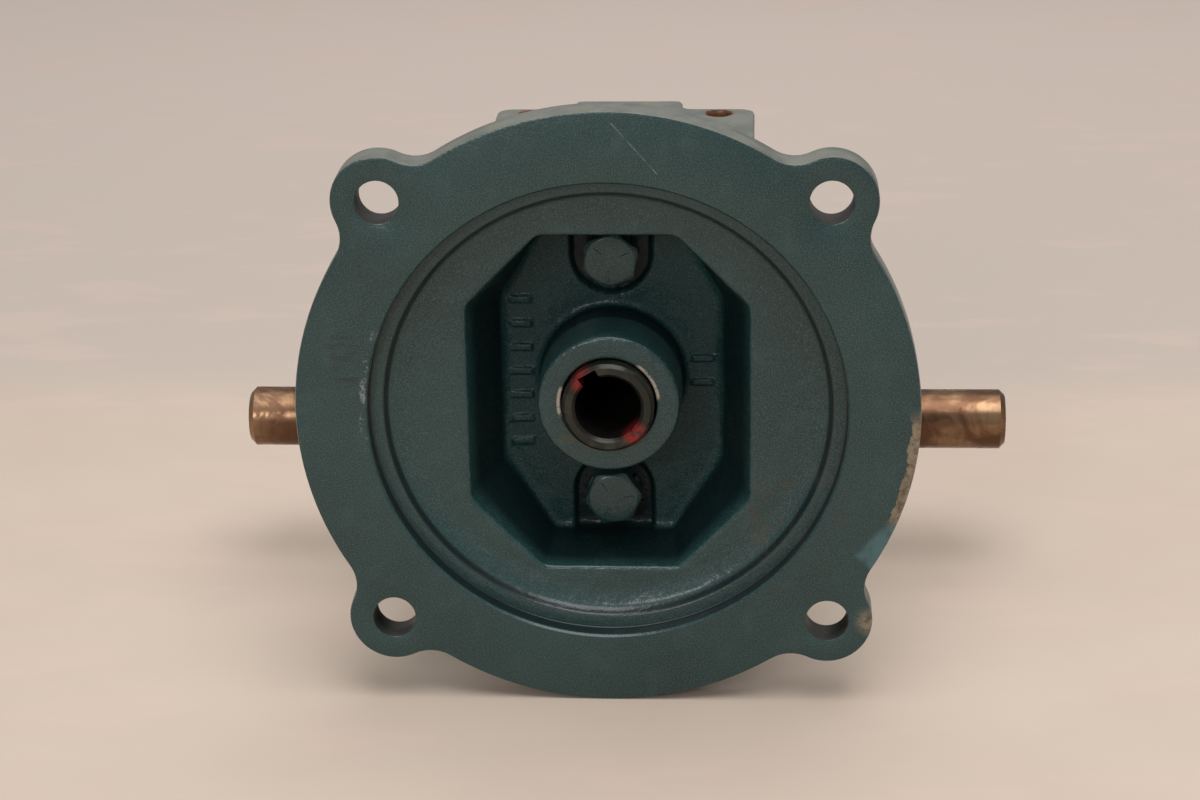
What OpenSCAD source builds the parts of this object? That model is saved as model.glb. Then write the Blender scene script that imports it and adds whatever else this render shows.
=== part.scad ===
// Right-angle worm gearbox with a quill input, a C-face motor flange and a double output shaft.
// Frame: origin on the worm axis in the plane of the motor flange's front face.
// +Y runs from the motor into the gearbox, +X along the output shaft, +Z up.

/* [Motor flange] */
// Radius of the round flange
flange_radius = 74.45; // [73:0.05:76]
// Thickness of the flange plate at its bolt ears
flange_thickness = 9; // [8.5:0.5:12]
// Diameter of the motor bolt circle (5.875 in)
bolt_circle = 149.225; // [149:0.005:149.4]
// Diameter of a motor bolt hole (13/32 in)
bolt_hole = 10.32; // [9:0.01:11]
// Diameter of the pilot recess (4.5 in)
pilot_diameter = 114.3; // [112:0.1:116]
// Depth of the pilot recess
pilot_depth = 4.6; // [4:0.1:5]
// Height of the raised marks cast on the pocket floor
mark_height = 0.7; // [0.3:0.1:1.2]

/* [Shafts] */
// Diameter of the bore that takes the motor shaft (5/8 in)
input_bore = 15.875; // [14:0.005:16]
// Diameter of the output shaft's ends (5/8 in)
output_diameter = 15.875; // [14:0.005:16.5]
// Overall length of the output shaft (8 in)
output_length = 203.2; // [180:0.2:230]
// Width of every key and keyway (3/16 in)
key_width = 4.7625; // [4:0.0005:5]

/* [Gears] */
// Distance between worm axis and wheel axis (1.33 in)
centre_distance = 33.78; // [33.7:0.01:33.9]
// Teeth on the worm wheel
wheel_teeth = 30; // [30]
// Threads on the worm
worm_starts = 2; // [2]
// Axial module of the worm
gear_module = 1.7; // [1.68:0.01:1.72]
// Clearance cut from each worm flank
flank_clearance = 0.16; // [0.1:0.01:0.22]

/* [Housing] */
// Distance from the flange face to the output shaft's axis (3.5 in)
output_y = 88.9; // [88.5:0.1:90]
// Half width of the housing across its top pad
housing_half_width = 34.5; // [34:0.1:35.5]
// Height of the top pad above the worm axis
top_z = 45; // [44:0.5:47]
// Height of the base below the worm axis
base_drop = 74.45; // [74.3:0.05:78]
// Lengthwise spacing of the tapped holes in the top and the base
pad_spacing_y = 44; // [42:1:46]
// Crosswise spacing of the tapped holes in the top and the base
pad_spacing_x = 50; // [48:1:52]

/* [Hidden] */
$fn = 64;

fit = 0.02;               // radial gap of every fit inside one body
running = 0.05;           // radial gap of every running fit
overcut = 1;              // how far a cutter runs past the face it opens

// Motor flange
bolt_offset = bolt_circle / 2 / sqrt(2);
ear_radius = 11;
ear_blend = 9;            // radius of the hollow between ear and disc
ring_inner = 53.9;        // inner radius of the machined pilot seat
disc_y = 8;               // cast face inside the pilot seat
back_boss_y = 14.5;       // back of the thick disc behind the pilot recess
back_boss_radius = 61;
floor_y = 30;             // floor of the octagonal pocket
joint_y = 37;             // face that meets the housing
gasket_t = 0.4;
hub_face_y = 8.3;
hub_radius = 17.2;
hub_foot_radius = 17.7;
hub_bore = 11.6;
hub_edge = 0.9;           // bevel round the hub's face
bolt_z = 31;              // height of the two joint bolts above and below the worm
seat_y = 31.5;            // spot face under each joint bolt
seat_radius = 10.4;
seat_reach = 9.9;         // how far each spot face runs on towards the flange's rim
spigot_radius = 23.5;

// Octagonal pocket: corners of one quarter as [x, z]
pocket_rim = [[34, 24.7], [16.4, 42.3]];
pocket_floor = [[27, 21], [15.1, 41.1]];
pocket_wall = 6;
mark_rows = [[-22.6, 0.8, 7], [22.4, 1.1, 2]];
mark_pitch = 6.2;
mark_length = 5.4;
mark_width = 1.6;

// Joint bolts, 5/16 in
bolt_radius = 3.97;
bolt_head = 12.7;         // across the flats
bolt_head_t = 5.5;
washer_t = 2;
bolt_reach = 19;

// Gears
axial_pitch = PI * gear_module;
lead = worm_starts * axial_pitch;
wheel_pitch_r = gear_module * wheel_teeth / 2;
worm_pitch_r = centre_distance - wheel_pitch_r;
worm_tip_r = worm_pitch_r + 0.95 * gear_module;
worm_root_r = worm_pitch_r - 1.2 * gear_module;
pressure_angle = 20;
tip_clearance = 0.5;
wheel_half_width = 7;
wheel_rim_r = 28.4;       // largest radius of the wheel
rim_bore = 20;            // where the bronze rim sits on its hub
worm_half_length = 18;
thread_step = 10;         // degrees between sections of the thread
flank_levels = 4;
wheel_planes = 6;
flank_steps = 20;

// Bearings as [bore radius, outer radius, width, pitch radius, ball radius, balls, inner land, outer land]
B6203 = [8.5, 20, 12, 14.25, 3.3735, 8, 12.1, 16.4];
B6005 = [12.5, 23.5, 12, 18, 3.175, 10, 15.9, 20.1];
front_bearing_y = 40.4;
rear_bearing_y = 114;
output_bearing_x = 20;
ball_gap = 0.05;

// Quill and worm shaft
quill_y = 5;              // end face of the quill
quill_radius = 11.1125;
quill_bore_end = 57;
shaft_tail_y = 127.9;

// Housing
wheel_z = -centre_distance;
cavity_radius = 30;
tunnel_radius = 17;
front_plate_radius = 41;
housing_y = joint_y + gasket_t;
rear_y = 129;
rear_boss_radius = 30;
cap_t = 5;
cap_screw_circle = 24.8;
pad_rear_y = 115.5;
rib_x = [-14, 15];        // rear rib that carries the vent plug
rib_low_z = 12;
rib_rear_y = 124;
box_front_y = 50;
side_face_x = housing_half_width + 1.5;
side_boss_radius = 39.5;
cover_screw_circle = 34.8;
pad_tap = 3.3;            // radius of the 5/16 in tapped holes
pad_tap_depth = 13;

// Covers
cover_t = 5.6;
cover_nose_x = side_face_x + 9.8;
cover_nose_radius = 19;
seal_t = 6.35;
output_seal_r = 14.3;
input_seal_r = 16;
input_seal_y = 29.5;

// Screws of the covers and the end cap
screw_radius = 2.4;
screw_head = 7.9;
screw_head_t = 3.2;
screw_reach = 11;

function at(r, angle) = [r * cos(angle), r * sin(angle)];

// Swaps Y and Z: a drawing's x, y become X, Z and its extrusion runs along +Y.
module along_y() { mirror([0, 1, 0]) rotate([90, 0, 0]) children(); }

// A drawing's x, y become Y, Z and its extrusion runs along +X.
module along_x() { rotate([90, 0, 90]) children(); }

module at_output(x = 0) { translate([x, output_y, wheel_z]) along_x() children(); }

module both_sides() {
  children();
  mirror([1, 0, 0]) children();
}

module ring(inner, outer, length) {
  difference() {
    cylinder(r = outer, h = length);
    translate([0, 0, -overcut]) cylinder(r = inner, h = length + 2 * overcut);
  }
}

module hex(flats, height) { cylinder(r = flats / sqrt(3), h = height, $fn = 6); }

// A block with upright rounded edges, from low corner to high corner.
module rounded_block(low, high, radius) {
  size = high - low;
  translate([low[0], low[1], low[2]]) linear_extrude(size[2]) {
    translate([radius, 0]) square([size[0] - 2 * radius, size[1]]);
    translate([0, radius]) square([size[0], size[1] - 2 * radius]);
    for (x = [radius, size[0] - radius], y = [radius, size[1] - radius])
      translate([x, y]) circle(radius);
  }
}

// Side faces and end caps of a stack of equal rings of points.
function swept_faces(rings, count) = concat(
  [[for (j = [count - 1:-1:0]) j]],
  [[for (j = [0:count - 1]) (rings - 1) * count + j]],
  [for (i = [0:rings - 2], j = [0:count - 1], half = [0, 1])
    let (k = (j + 1) % count, a = i * count, b = a + count)
    half == 0 ? [a + j, a + k, b + k] : [a + j, b + k, b + j]]
);

// ---- Screws -------------------------------------------------------------------------------

// A hex screw along +Z: its head's underside is at z = 0 and its shank points up.
module hex_screw(radius, flats, head_t, reach, washer_radius = 0) {
  translate([0, 0, -head_t]) intersection() {
    hex(flats, head_t);
    cylinder(r1 = flats * 0.53 - head_t * 0.08, r2 = flats * 0.53 + head_t * 1.1, h = head_t);
  }
  cylinder(r = radius, h = reach);
  if (washer_radius > 0) translate([0, 0, -0.6]) cylinder(r = washer_radius, h = 0.6);
}

// ---- Motor flange -------------------------------------------------------------------------

// Points of an arc of this radius about centre, between two angles.
function arc(centre, r, from, to, steps) =
  [for (k = [0:steps]) centre + at(r, from + (to - from) * k / steps)];

// One bolt ear with the hollow blends that lead into the disc. It starts just inside the rim.
module ear_outline() {
  reach = bolt_circle / 2;
  a = flange_radius - 0.05 + ear_blend;
  b = ear_radius + ear_blend;
  turn = acos((a * a + reach * reach - b * b) / (2 * a * reach));
  lean = acos((b * b + reach * reach - a * a) / (2 * b * reach));
  blend_centre = at(a, turn);
  upper = concat(
    arc([reach, 0], ear_radius, 0, 180 - lean, 16),
    arc(blend_centre, ear_blend, -lean, turn - 180, 10),
    [at(flange_radius - 15, turn)]
  );
  count = len(upper);
  polygon(concat(upper, [for (k = [count - 1:-1:1]) [upper[k][0], -upper[k][1]]]));
}

module flange_outline() {
  circle(flange_radius, $fn = 128);
  for (angle = [45:90:315]) rotate(angle) ear_outline();
}

// The eight corners [x, z] of the octagon with these two corners in its first quarter.
function octagon(quarter) = let (a = quarter[0], b = quarter[1]) [
  [a[0], -a[1]], a, b, [-b[0], b[1]], [-a[0], a[1]], [-a[0], -a[1]], [-b[0], -b[1]], [b[0], -b[1]]
];

function blend(a, b, share) = a + (b - a) * share;

// A drafted octagonal plug between two planes, its walls in line with the pocket's.
module pocket_plug(from_y, to_y, grow) {
  function corners(y) = [for (q = [0, 1])
    let (p = blend(pocket_rim[q], pocket_floor[q], (y - disc_y) / (floor_y - disc_y)))
    p + [grow, grow]];
  low = octagon(corners(from_y));
  high = octagon(corners(to_y));
  points = concat([for (p = low) [p[0], from_y, p[1]]], [for (p = high) [p[0], to_y, p[1]]]);
  polyhedron(points, swept_faces(2, 8));
}

module hub() {
  along_y() rotate_extrude() polygon([
    [hub_bore, hub_face_y],
    [hub_radius - hub_edge, hub_face_y],
    [hub_radius, hub_face_y + hub_edge],
    [hub_foot_radius, floor_y],
    [hub_foot_radius, floor_y + 2],
    [hub_bore, floor_y + 2]
  ]);
}

// Blank raised bars in an upright row, given as [x, middle z, how many].
module floor_marks(row) {
  for (k = [0:row[2] - 1])
    translate([row[0] - mark_length / 2, floor_y - mark_height,
        row[1] + (k - (row[2] - 1) / 2) * mark_pitch - mark_width / 2])
      cube([mark_length, mark_height + overcut, mark_width]);
}

module motor_flange() {
  color([0.16, 0.29, 0.28]) difference() {
    union() {
      difference() {
        union() {
          along_y() linear_extrude(flange_thickness) flange_outline();
          translate([0, flange_thickness - overcut, 0]) along_y()
            cylinder(r = back_boss_radius, h = back_boss_y - flange_thickness + overcut);
          pocket_plug(back_boss_y - overcut, joint_y, pocket_wall);
          translate([0, joint_y - 2, 0]) along_y() cylinder(r = front_plate_radius, h = 2);
          translate([0, joint_y - overcut, 0]) along_y()
            ring(19, spigot_radius - fit, front_bearing_y - joint_y + overcut);
        }
        along_y() rotate_extrude($fn = 128) polygon([
          [0, -overcut],
          [pilot_diameter / 2 + 0.5, -overcut],
          [pilot_diameter / 2 + 0.5, 0],
          [pilot_diameter / 2, 0.5],
          [pilot_diameter / 2, pilot_depth],
          [ring_inner, pilot_depth],
          [ring_inner - 1, pilot_depth + 0.9],
          [ring_inner - 3, disc_y - 0.3],
          [ring_inner - 5, disc_y],
          [0, disc_y]
        ]);
        pocket_plug(disc_y - 0.5, floor_y, 0);
        for (side = [-1, 1]) translate([0, 0, side * bolt_z]) {
          translate([0, floor_y - overcut, 0]) along_y()
            cylinder(r = seat_radius, h = seat_y - floor_y + overcut);
          translate([-seat_radius, floor_y - overcut, side > 0 ? 0 : -seat_reach])
            cube([2 * seat_radius, seat_y - floor_y + overcut, seat_reach]);
        }
      }
      hub();
      for (row = mark_rows) floor_marks(row);
    }
    for (angle = [45:90:315]) rotate([0, angle, 0]) translate([bolt_circle / 2, -overcut, 0])
      along_y() cylinder(r = bolt_hole / 2, h = flange_thickness + 2 * overcut);
    along_y() cylinder(r = hub_bore, h = input_seal_y + overcut);
    translate([0, input_seal_y, 0]) along_y()
      cylinder(r = input_seal_r + fit, h = joint_y - input_seal_y);
    translate([0, joint_y - overcut, 0]) along_y() cylinder(r = 19, h = 2 * overcut);
    for (z = [-bolt_z, bolt_z]) translate([0, floor_y, z]) along_y()
      cylinder(r = bolt_radius + 0.2, h = joint_y - floor_y + overcut);
  }
}

module flange_gasket() {
  color([0.35, 0.24, 0.16]) translate([0, joint_y, 0]) along_y() difference() {
    ring(spigot_radius + 0.3, front_plate_radius - 0.3, gasket_t);
    for (z = [-bolt_z, bolt_z]) translate([0, z, -overcut]) cylinder(r = bolt_radius + 0.4, h = 3);
  }
}

module flange_bolts() {
  color([0.17, 0.28, 0.27]) for (z = [-bolt_z, bolt_z])
    translate([0, seat_y - washer_t, z]) along_y()
      hex_screw(bolt_radius - fit, bolt_head, bolt_head_t, bolt_reach, 5.9);
}

module flange_lock_washers() {
  color([0.17, 0.27, 0.26]) for (z = [-bolt_z, bolt_z])
    translate([0, seat_y - washer_t, z]) along_y() difference() {
      ring(bolt_radius + 0.2, 6.6, washer_t);
      rotate(40) translate([0, -0.5, -overcut]) cube([10, 1, washer_t + 2 * overcut]);
    }
}

// ---- Oil seals ----------------------------------------------------------------------------

// A lip seal whose air side is at z = 0, for a shaft of this radius.
module oil_seal(shaft_r, outer_r, length) {
  lip = shaft_r + running;
  rotate_extrude() polygon([
    [lip + 0.7, 0],
    [outer_r, 0],
    [outer_r, length],
    [outer_r - 1, length],
    [outer_r - 1, 1.6],
    [lip + 1.5, 1.6],
    [lip + 1.5, length - 0.9],
    [lip + 0.9, length - 0.9],
    [lip, length - 2.1],
    [lip + 0.9, 1.9]
  ]);
}

module seal_spring(shaft_r, length) {
  translate([0, 0, length - 2]) rotate_extrude()
    translate([shaft_r + running + 1.5 + 0.45, 0]) circle(0.42, $fn = 24);
}

module input_oil_seal() {
  color([0.13, 0.12, 0.12]) translate([0, input_seal_y, 0]) along_y()
    oil_seal(quill_radius, input_seal_r, 7);
}

module input_seal_spring() {
  color("silver") translate([0, input_seal_y, 0]) along_y() seal_spring(quill_radius, 7);
}

// ---- Ball bearings ------------------------------------------------------------------------

module bearing_outer(b) {
  rotate_extrude() difference() {
    translate([b[7], 0]) square([b[1] - fit - b[7], b[2]]);
    translate([b[3], b[2] / 2]) circle(b[4] + ball_gap, $fn = 48);
  }
}

module bearing_inner(b) {
  rotate_extrude() difference() {
    translate([b[0] + fit, 0]) square([b[6] - b[0] - fit, b[2]]);
    translate([b[3], b[2] / 2]) circle(b[4] + ball_gap, $fn = 48);
  }
}

module bearing_balls(b) {
  for (k = [0:b[5] - 1]) rotate(k * 360 / b[5]) translate([b[3], 0, b[2] / 2])
    sphere(b[4], $fn = 32);
}

module bearing_cage(b) {
  difference() {
    translate([0, 0, 1.3]) ring(b[3] - 0.7, b[3] + 0.7, b[2] - 2.6);
    for (k = [0:b[5] - 1]) rotate(k * 360 / b[5]) translate([b[3] - 5, 0, b[2] / 2])
      rotate([0, 90, 0]) cylinder(r = b[4] + 0.12, h = 10);
  }
}

module on_worm(y) { translate([0, y, 0]) along_y() children(); }

module front_bearing_outer() { color("silver") on_worm(front_bearing_y) bearing_outer(B6005); }
module front_bearing_inner() { color("silver") on_worm(front_bearing_y) bearing_inner(B6005); }
module front_bearing_balls() { color("lightgray") on_worm(front_bearing_y) bearing_balls(B6005); }
module front_bearing_cage() { color("goldenrod") on_worm(front_bearing_y) bearing_cage(B6005); }

module rear_bearing_outer() { color("silver") on_worm(rear_bearing_y) bearing_outer(B6203); }
module rear_bearing_inner() { color("silver") on_worm(rear_bearing_y) bearing_inner(B6203); }
module rear_bearing_balls() { color("lightgray") on_worm(rear_bearing_y) bearing_balls(B6203); }
module rear_bearing_cage() { color("goldenrod") on_worm(rear_bearing_y) bearing_cage(B6203); }

module on_output(side) {
  if (side > 0) at_output(output_bearing_x) children();
  else mirror([1, 0, 0]) at_output(output_bearing_x) children();
}

module left_bearing_outer() { color("silver") on_output(-1) bearing_outer(B6203); }
module left_bearing_inner() { color("silver") on_output(-1) bearing_inner(B6203); }
module left_bearing_balls() { color("lightgray") on_output(-1) bearing_balls(B6203); }
module left_bearing_cage() { color("goldenrod") on_output(-1) bearing_cage(B6203); }
module right_bearing_outer() { color("silver") on_output(1) bearing_outer(B6203); }
module right_bearing_inner() { color("silver") on_output(1) bearing_inner(B6203); }
module right_bearing_balls() { color("lightgray") on_output(1) bearing_balls(B6203); }
module right_bearing_cage() { color("goldenrod") on_output(1) bearing_cage(B6203); }

// ---- Worm shaft ---------------------------------------------------------------------------

// Half the axial thickness of a worm thread at this radius, before clearance.
function thread_half(r) = axial_pitch / 4 - (r - worm_pitch_r) * tan(pressure_angle);

// One thread of the worm: the gap below the worm's middle is centred on the wheel.
module worm_thread(start) {
  turn = 360 * worm_half_length / lead;
  count = ceil(2 * turn / thread_step);
  core = worm_root_r - 0.5;
  rings = [for (s = [0:count])
    let (
      angle = -turn + 2 * turn * s / count,
      middle = output_y + lead * angle / 360 + (start - 0.5) * axial_pitch,
      fade = min(1, min(s, count - s) / 6),
      tip = core + (worm_tip_r - core) * fade,
      profile = [[core, -1], [tip, -1], [tip, 1], [core, 1]]
    )
    for (p = profile)
      let (y = middle + p[1] * (thread_half(p[0]) - flank_clearance))
      [p[0] * sin(angle + 180), y, p[0] * cos(angle + 180)]
  ];
  polyhedron(rings, swept_faces(count + 1, 4));
}

module worm_shaft() {
  color([0.52, 0.47, 0.42]) difference() {
    union() {
      along_y() rotate_extrude() polygon([
        [0, quill_y],
        [quill_radius - 0.8, quill_y],
        [quill_radius, quill_y + 0.8],
        [quill_radius, 37.6],
        [B6005[0], 38.6],
        [B6005[0], 38.9],
        [11.8, 38.9],
        [11.8, front_bearing_y],
        [B6005[0], front_bearing_y],
        [B6005[0], front_bearing_y + 12],
        [15, front_bearing_y + 12],
        [15, front_bearing_y + 14.6],
        [12, front_bearing_y + 17.6],
        [12, 62],
        [worm_root_r, 67],
        [worm_root_r, 108],
        [10.4, 109.5],
        [10.4, rear_bearing_y],
        [B6203[0], rear_bearing_y],
        [B6203[0], rear_bearing_y + 12],
        [7.9, rear_bearing_y + 12],
        [7.9, rear_bearing_y + 13.2],
        [B6203[0], rear_bearing_y + 13.2],
        [B6203[0], shaft_tail_y - 0.8],
        [B6203[0] - 0.8, shaft_tail_y],
        [0, shaft_tail_y]
      ]);
      for (start = [0:worm_starts - 1]) worm_thread(start);
    }
    along_y() rotate_extrude() polygon([
      [0, quill_y - overcut],
      [input_bore / 2 + 0.8, quill_y - overcut],
      [input_bore / 2 + 0.8, quill_y],
      [input_bore / 2, quill_y + 0.8],
      [input_bore / 2, quill_bore_end],
      [0, quill_bore_end + 4]
    ]);
    rotate([0, -30, 0]) translate([-key_width / 2, quill_y - overcut, 0])
      cube([key_width, 45, 10.07]);
  }
}

// An open retaining ring that sits in a shaft groove.
module retaining_ring(inner, outer, thickness) {
  difference() {
    ring(inner, outer, thickness);
    translate([0, -1.6, -overcut]) cube([outer + overcut, 3.2, thickness + 2 * overcut]);
  }
}

module front_retaining_ring() {
  color("dimgray") on_worm(39) retaining_ring(11.85, 14.4, 1.3);
}

module rear_retaining_ring() {
  color("dimgray") on_worm(rear_bearing_y + 12.05) retaining_ring(7.95, 10.6, 1.05);
}

// ---- Rear end cap -------------------------------------------------------------------------

module cap_screw_places() {
  for (angle = [45:90:315]) rotate(angle) translate([cap_screw_circle, 0]) children();
}

module bearing_shims() {
  color("peru") on_worm(rear_bearing_y + 12) ring(17.6, 19.8, 0.5);
}

module end_cap() {
  color([0.16, 0.29, 0.28]) on_worm(rear_y + gasket_t) difference() {
    union() {
      cylinder(r = rear_boss_radius, h = cap_t - 1);
      cylinder(r = rear_boss_radius - 1, h = cap_t);
      spigot = rear_y + gasket_t - rear_bearing_y - 12.5;
      translate([0, 0, -spigot]) ring(16.6, 20 - fit, spigot + overcut);
    }
    cap_screw_places() translate([0, 0, -overcut]) cylinder(r = screw_radius + 0.2, h = cap_t + 2);
  }
}

module end_cap_gasket() {
  color([0.35, 0.24, 0.16]) on_worm(rear_y) difference() {
    ring(20.3, rear_boss_radius - 0.3, gasket_t);
    cap_screw_places() translate([0, 0, -overcut]) cylinder(r = screw_radius + 0.3, h = 3);
  }
}

module end_cap_screws() {
  color([0.5, 0.48, 0.44]) translate([0, rear_y + gasket_t + cap_t, 0])
    rotate([90, 0, 0]) cap_screw_places() hex_screw(screw_radius, screw_head, screw_head_t, 14);
}

// ---- Output shaft and worm wheel ----------------------------------------------------------

module output_shaft() {
  end = output_length / 2;
  seat = output_bearing_x;
  r = output_diameter / 2;
  color([0.55, 0.42, 0.28]) difference() {
    at_output() rotate_extrude() polygon([
      [0, -end],
      [r - 1.4, -end],
      [r, -end + 1.4],
      [r, -cover_nose_x - 1.6],
      [r - 0.3, -cover_nose_x - 1.6],
      [r - 0.3, -cover_nose_x - 0.4],
      [r, -cover_nose_x - 0.4],
      [r, -seat - 13],
      [B6203[0], -seat - 12.5],
      [B6203[0], -seat],
      [11.6, -seat],
      [11.6, -14],
      [9.5, -14],
      [9.5, seat],
      [B6203[0], seat],
      [B6203[0], seat + 12.5],
      [r, seat + 13],
      [r, cover_nose_x + 0.4],
      [r - 0.3, cover_nose_x + 0.4],
      [r - 0.3, cover_nose_x + 1.6],
      [r, cover_nose_x + 1.6],
      [r, end - 1.4],
      [r - 1.4, end],
      [0, end]
    ]);
    both_sides() translate([end - 42, output_y + r - key_width / 2, wheel_z - key_width / 2])
      cube([42 + overcut, key_width, key_width]);
    translate([-13, output_y + 9.5 - key_width / 2, wheel_z - key_width / 2])
      cube([26, key_width, key_width]);
  }
}

// The edge of a worm thread in the plane x = c, at this height above the wheel's axis.
function thread_edge(c, height) =
  let (r = sqrt(c * c + pow(centre_distance - height, 2)))
  axial_pitch / 2 - lead * asin(c / r) / 360 - thread_half(r);

// Half the angle that a wheel tooth may fill at radius r in the plane x = c: the least that
// the passing worm thread leaves over the arc in which it reaches that radius.
function flank_angle(c, r) =
  let (
    lowest = centre_distance - sqrt(worm_tip_r * worm_tip_r - c * c),
    reach = acos(min(1, lowest / r))
  )
  min([for (i = [0:flank_steps])
    let (psi = reach * (2 * i / flank_steps - 1))
    psi - (r * sin(psi) - thread_edge(c, r * cos(psi))) * 180 / PI / wheel_pitch_r]);

function wheel_root(c) = centre_distance - sqrt(pow(worm_tip_r + tip_clearance, 2) - c * c);

function wheel_tip(c) =
  let (throat = pow(worm_root_r + tip_clearance, 2) - c * c)
  min(wheel_rim_r, throat > 0 ? centre_distance - sqrt(throat) : wheel_rim_r);

// The toothed ring: planes of tooth outlines, then the two edges of its bore.
module wheel_rim() {
  count = wheel_teeth * 2 * (flank_levels + 1);
  outside = [for (i = [0:wheel_planes])
    let (
      c = wheel_half_width * (2 * i / wheel_planes - 1),
      radii = [for (k = [0:flank_levels]) blend(wheel_root(c), wheel_tip(c), k / flank_levels)],
      left = [for (k = [0:flank_levels]) [radii[k], -flank_angle(-c, radii[k])]],
      right = [for (k = [flank_levels:-1:0]) [radii[k], flank_angle(c, radii[k])]]
    )
    for (tooth = [0:wheel_teeth - 1], p = concat(left, right))
      let (angle = p[1] + tooth * 360 / wheel_teeth)
      [c, p[0] * sin(angle), p[0] * cos(angle)]
  ];
  bore = [for (side = [-1, 1], j = [0:count - 1])
    let (angle = (j + 0.5) * 360 / count - 180 / wheel_teeth)
    [side * wheel_half_width, (rim_bore + fit) * sin(angle), (rim_bore + fit) * cos(angle)]];
  skins = [for (i = [0:wheel_planes - 1]) [i * count, (i + 1) * count]];
  far = wheel_planes * count;
  near_bore = far + count;
  strips = concat(skins, [[far, near_bore + count], [near_bore + count, near_bore], [near_bore, 0]]);
  color([0.72, 0.52, 0.25]) translate([0, output_y, wheel_z]) polyhedron(
    concat(outside, bore),
    [for (strip = strips, j = [0:count - 1], half = [0, 1])
      let (k = (j + 1) % count, a = strip[0], b = strip[1])
      half == 0 ? [a + j, a + k, b + k] : [a + j, b + k, b + j]]
  );
}

module wheel_hub() {
  color([0.33, 0.33, 0.34]) difference() {
    union() {
      at_output(-wheel_half_width) cylinder(r = rim_bore, h = 2 * wheel_half_width);
      at_output(-14) cylinder(r = 14.5, h = 28);
    }
    at_output(-14 - overcut) cylinder(r = 9.5 + fit, h = 30);
    translate([-15, output_y, wheel_z - key_width / 2 - fit])
      cube([30, 9.5 + 2.5, key_width + 2 * fit]);
  }
}

module wheel_key() {
  color("gray") translate([-13 + fit, output_y + 9.5 - key_width / 2 + fit, wheel_z - key_width / 2 + fit])
    cube([26 - 2 * fit, key_width - 2 * fit, key_width - 2 * fit]);
}

module wheel_spacer() { color("gray") at_output(14) ring(9.5 + fit, 11.6, output_bearing_x - 14); }

// ---- Output covers ------------------------------------------------------------------------

module cover_screw_places() {
  for (angle = [45:90:315]) rotate(angle) translate([cover_screw_circle, 0]) children();
}

// The right-hand cover: the left one is its mirror image.
module output_cover() {
  back = side_face_x + gasket_t;
  color([0.16, 0.29, 0.28]) difference() {
    union() {
      at_output(back) cylinder(r = side_boss_radius, h = cover_t - 0.8);
      at_output(back) cylinder(r = side_boss_radius - 0.8, h = cover_t);
      at_output(back) cylinder(r = cover_nose_radius, h = cover_nose_x - back);
      at_output(output_bearing_x - 0.5)
        cylinder(r = cavity_radius - fit, h = back - output_bearing_x + overcut);
    }
    at_output(output_bearing_x - overcut) cylinder(r = B6203[1], h = B6203[2] + overcut);
    at_output(output_bearing_x) cylinder(r = 15, h = 16);
    at_output(output_bearing_x) cylinder(r = output_diameter / 2 + 1, h = 40);
    at_output(cover_nose_x - seal_t) cylinder(r = output_seal_r + fit, h = seal_t + overcut);
    at_output(back - overcut) cover_screw_places()
      cylinder(r = screw_radius + 0.2, h = cover_t + 2 * overcut);
  }
}

module right_cover() { output_cover(); }
module left_cover() { mirror([1, 0, 0]) output_cover(); }

module cover_gasket() {
  color([0.35, 0.24, 0.16]) at_output(side_face_x) difference() {
    ring(cavity_radius + 0.3, side_boss_radius - 0.3, gasket_t);
    cover_screw_places() translate([0, 0, -overcut]) cylinder(r = screw_radius + 0.3, h = 3);
  }
}

module right_cover_gasket() { cover_gasket(); }
module left_cover_gasket() { mirror([1, 0, 0]) cover_gasket(); }

module cover_screws() {
  color([0.5, 0.48, 0.44]) both_sides() at_output(side_face_x + gasket_t + cover_t)
    cover_screw_places() rotate([180, 0, 0]) hex_screw(screw_radius, screw_head, screw_head_t, 15);
}

module output_oil_seal() {
  color([0.13, 0.12, 0.12]) translate([cover_nose_x, output_y, wheel_z]) mirror([1, 0, 0])
    along_x() oil_seal(output_diameter / 2, output_seal_r, seal_t);
}

module right_oil_seal() { output_oil_seal(); }
module left_oil_seal() { mirror([1, 0, 0]) output_oil_seal(); }

module output_seal_springs() {
  color("silver") both_sides() translate([cover_nose_x, output_y, wheel_z]) mirror([1, 0, 0])
    along_x() seal_spring(output_diameter / 2, seal_t);
}

// ---- Plugs and nameplate ------------------------------------------------------------------

// A hex pipe plug along +Z: its head's underside is at z = 0 and its thread points down.
module pipe_plug(radius, flats, head_t, reach) {
  hex(flats, head_t);
  translate([0, 0, -reach]) cylinder(r = radius, h = reach + overcut);
}

plug_radius = 4.8;
plug_reach = 8;
plug_flats = 11.1;
plug_head_t = 5;
socket_flats = 4.76;
vent_z = 37.5;
vent_passage = 2.5;
level_y = 58;
level_z = 3;
drain_z = -60;
drain_y = 126;

// A flush plug with a hex socket, in the middle of the top pad.
module fill_plug() {
  color([0.5, 0.48, 0.44]) translate([0, output_y, top_z - 0.6 - plug_reach]) difference() {
    cylinder(r = plug_radius - fit, h = plug_reach);
    translate([0, 0, plug_reach - 4]) hex(socket_flats, 5);
  }
}

module vent_plug() {
  color([0.6, 0.57, 0.5]) translate([0, rib_rear_y, vent_z]) along_y() difference() {
    pipe_plug(plug_radius - fit, plug_flats, plug_head_t, plug_reach);
    translate([0, 0, -plug_reach - overcut]) cylinder(r = 1, h = plug_reach + 4);
    translate([-8, 0, 2.4]) along_x() cylinder(r = 0.8, h = 16);
  }
}

module level_plug() {
  color([0.5, 0.48, 0.44]) translate([-housing_half_width, level_y, level_z]) rotate([0, -90, 0])
    pipe_plug(plug_radius - fit, plug_flats, plug_head_t, plug_reach);
}

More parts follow.
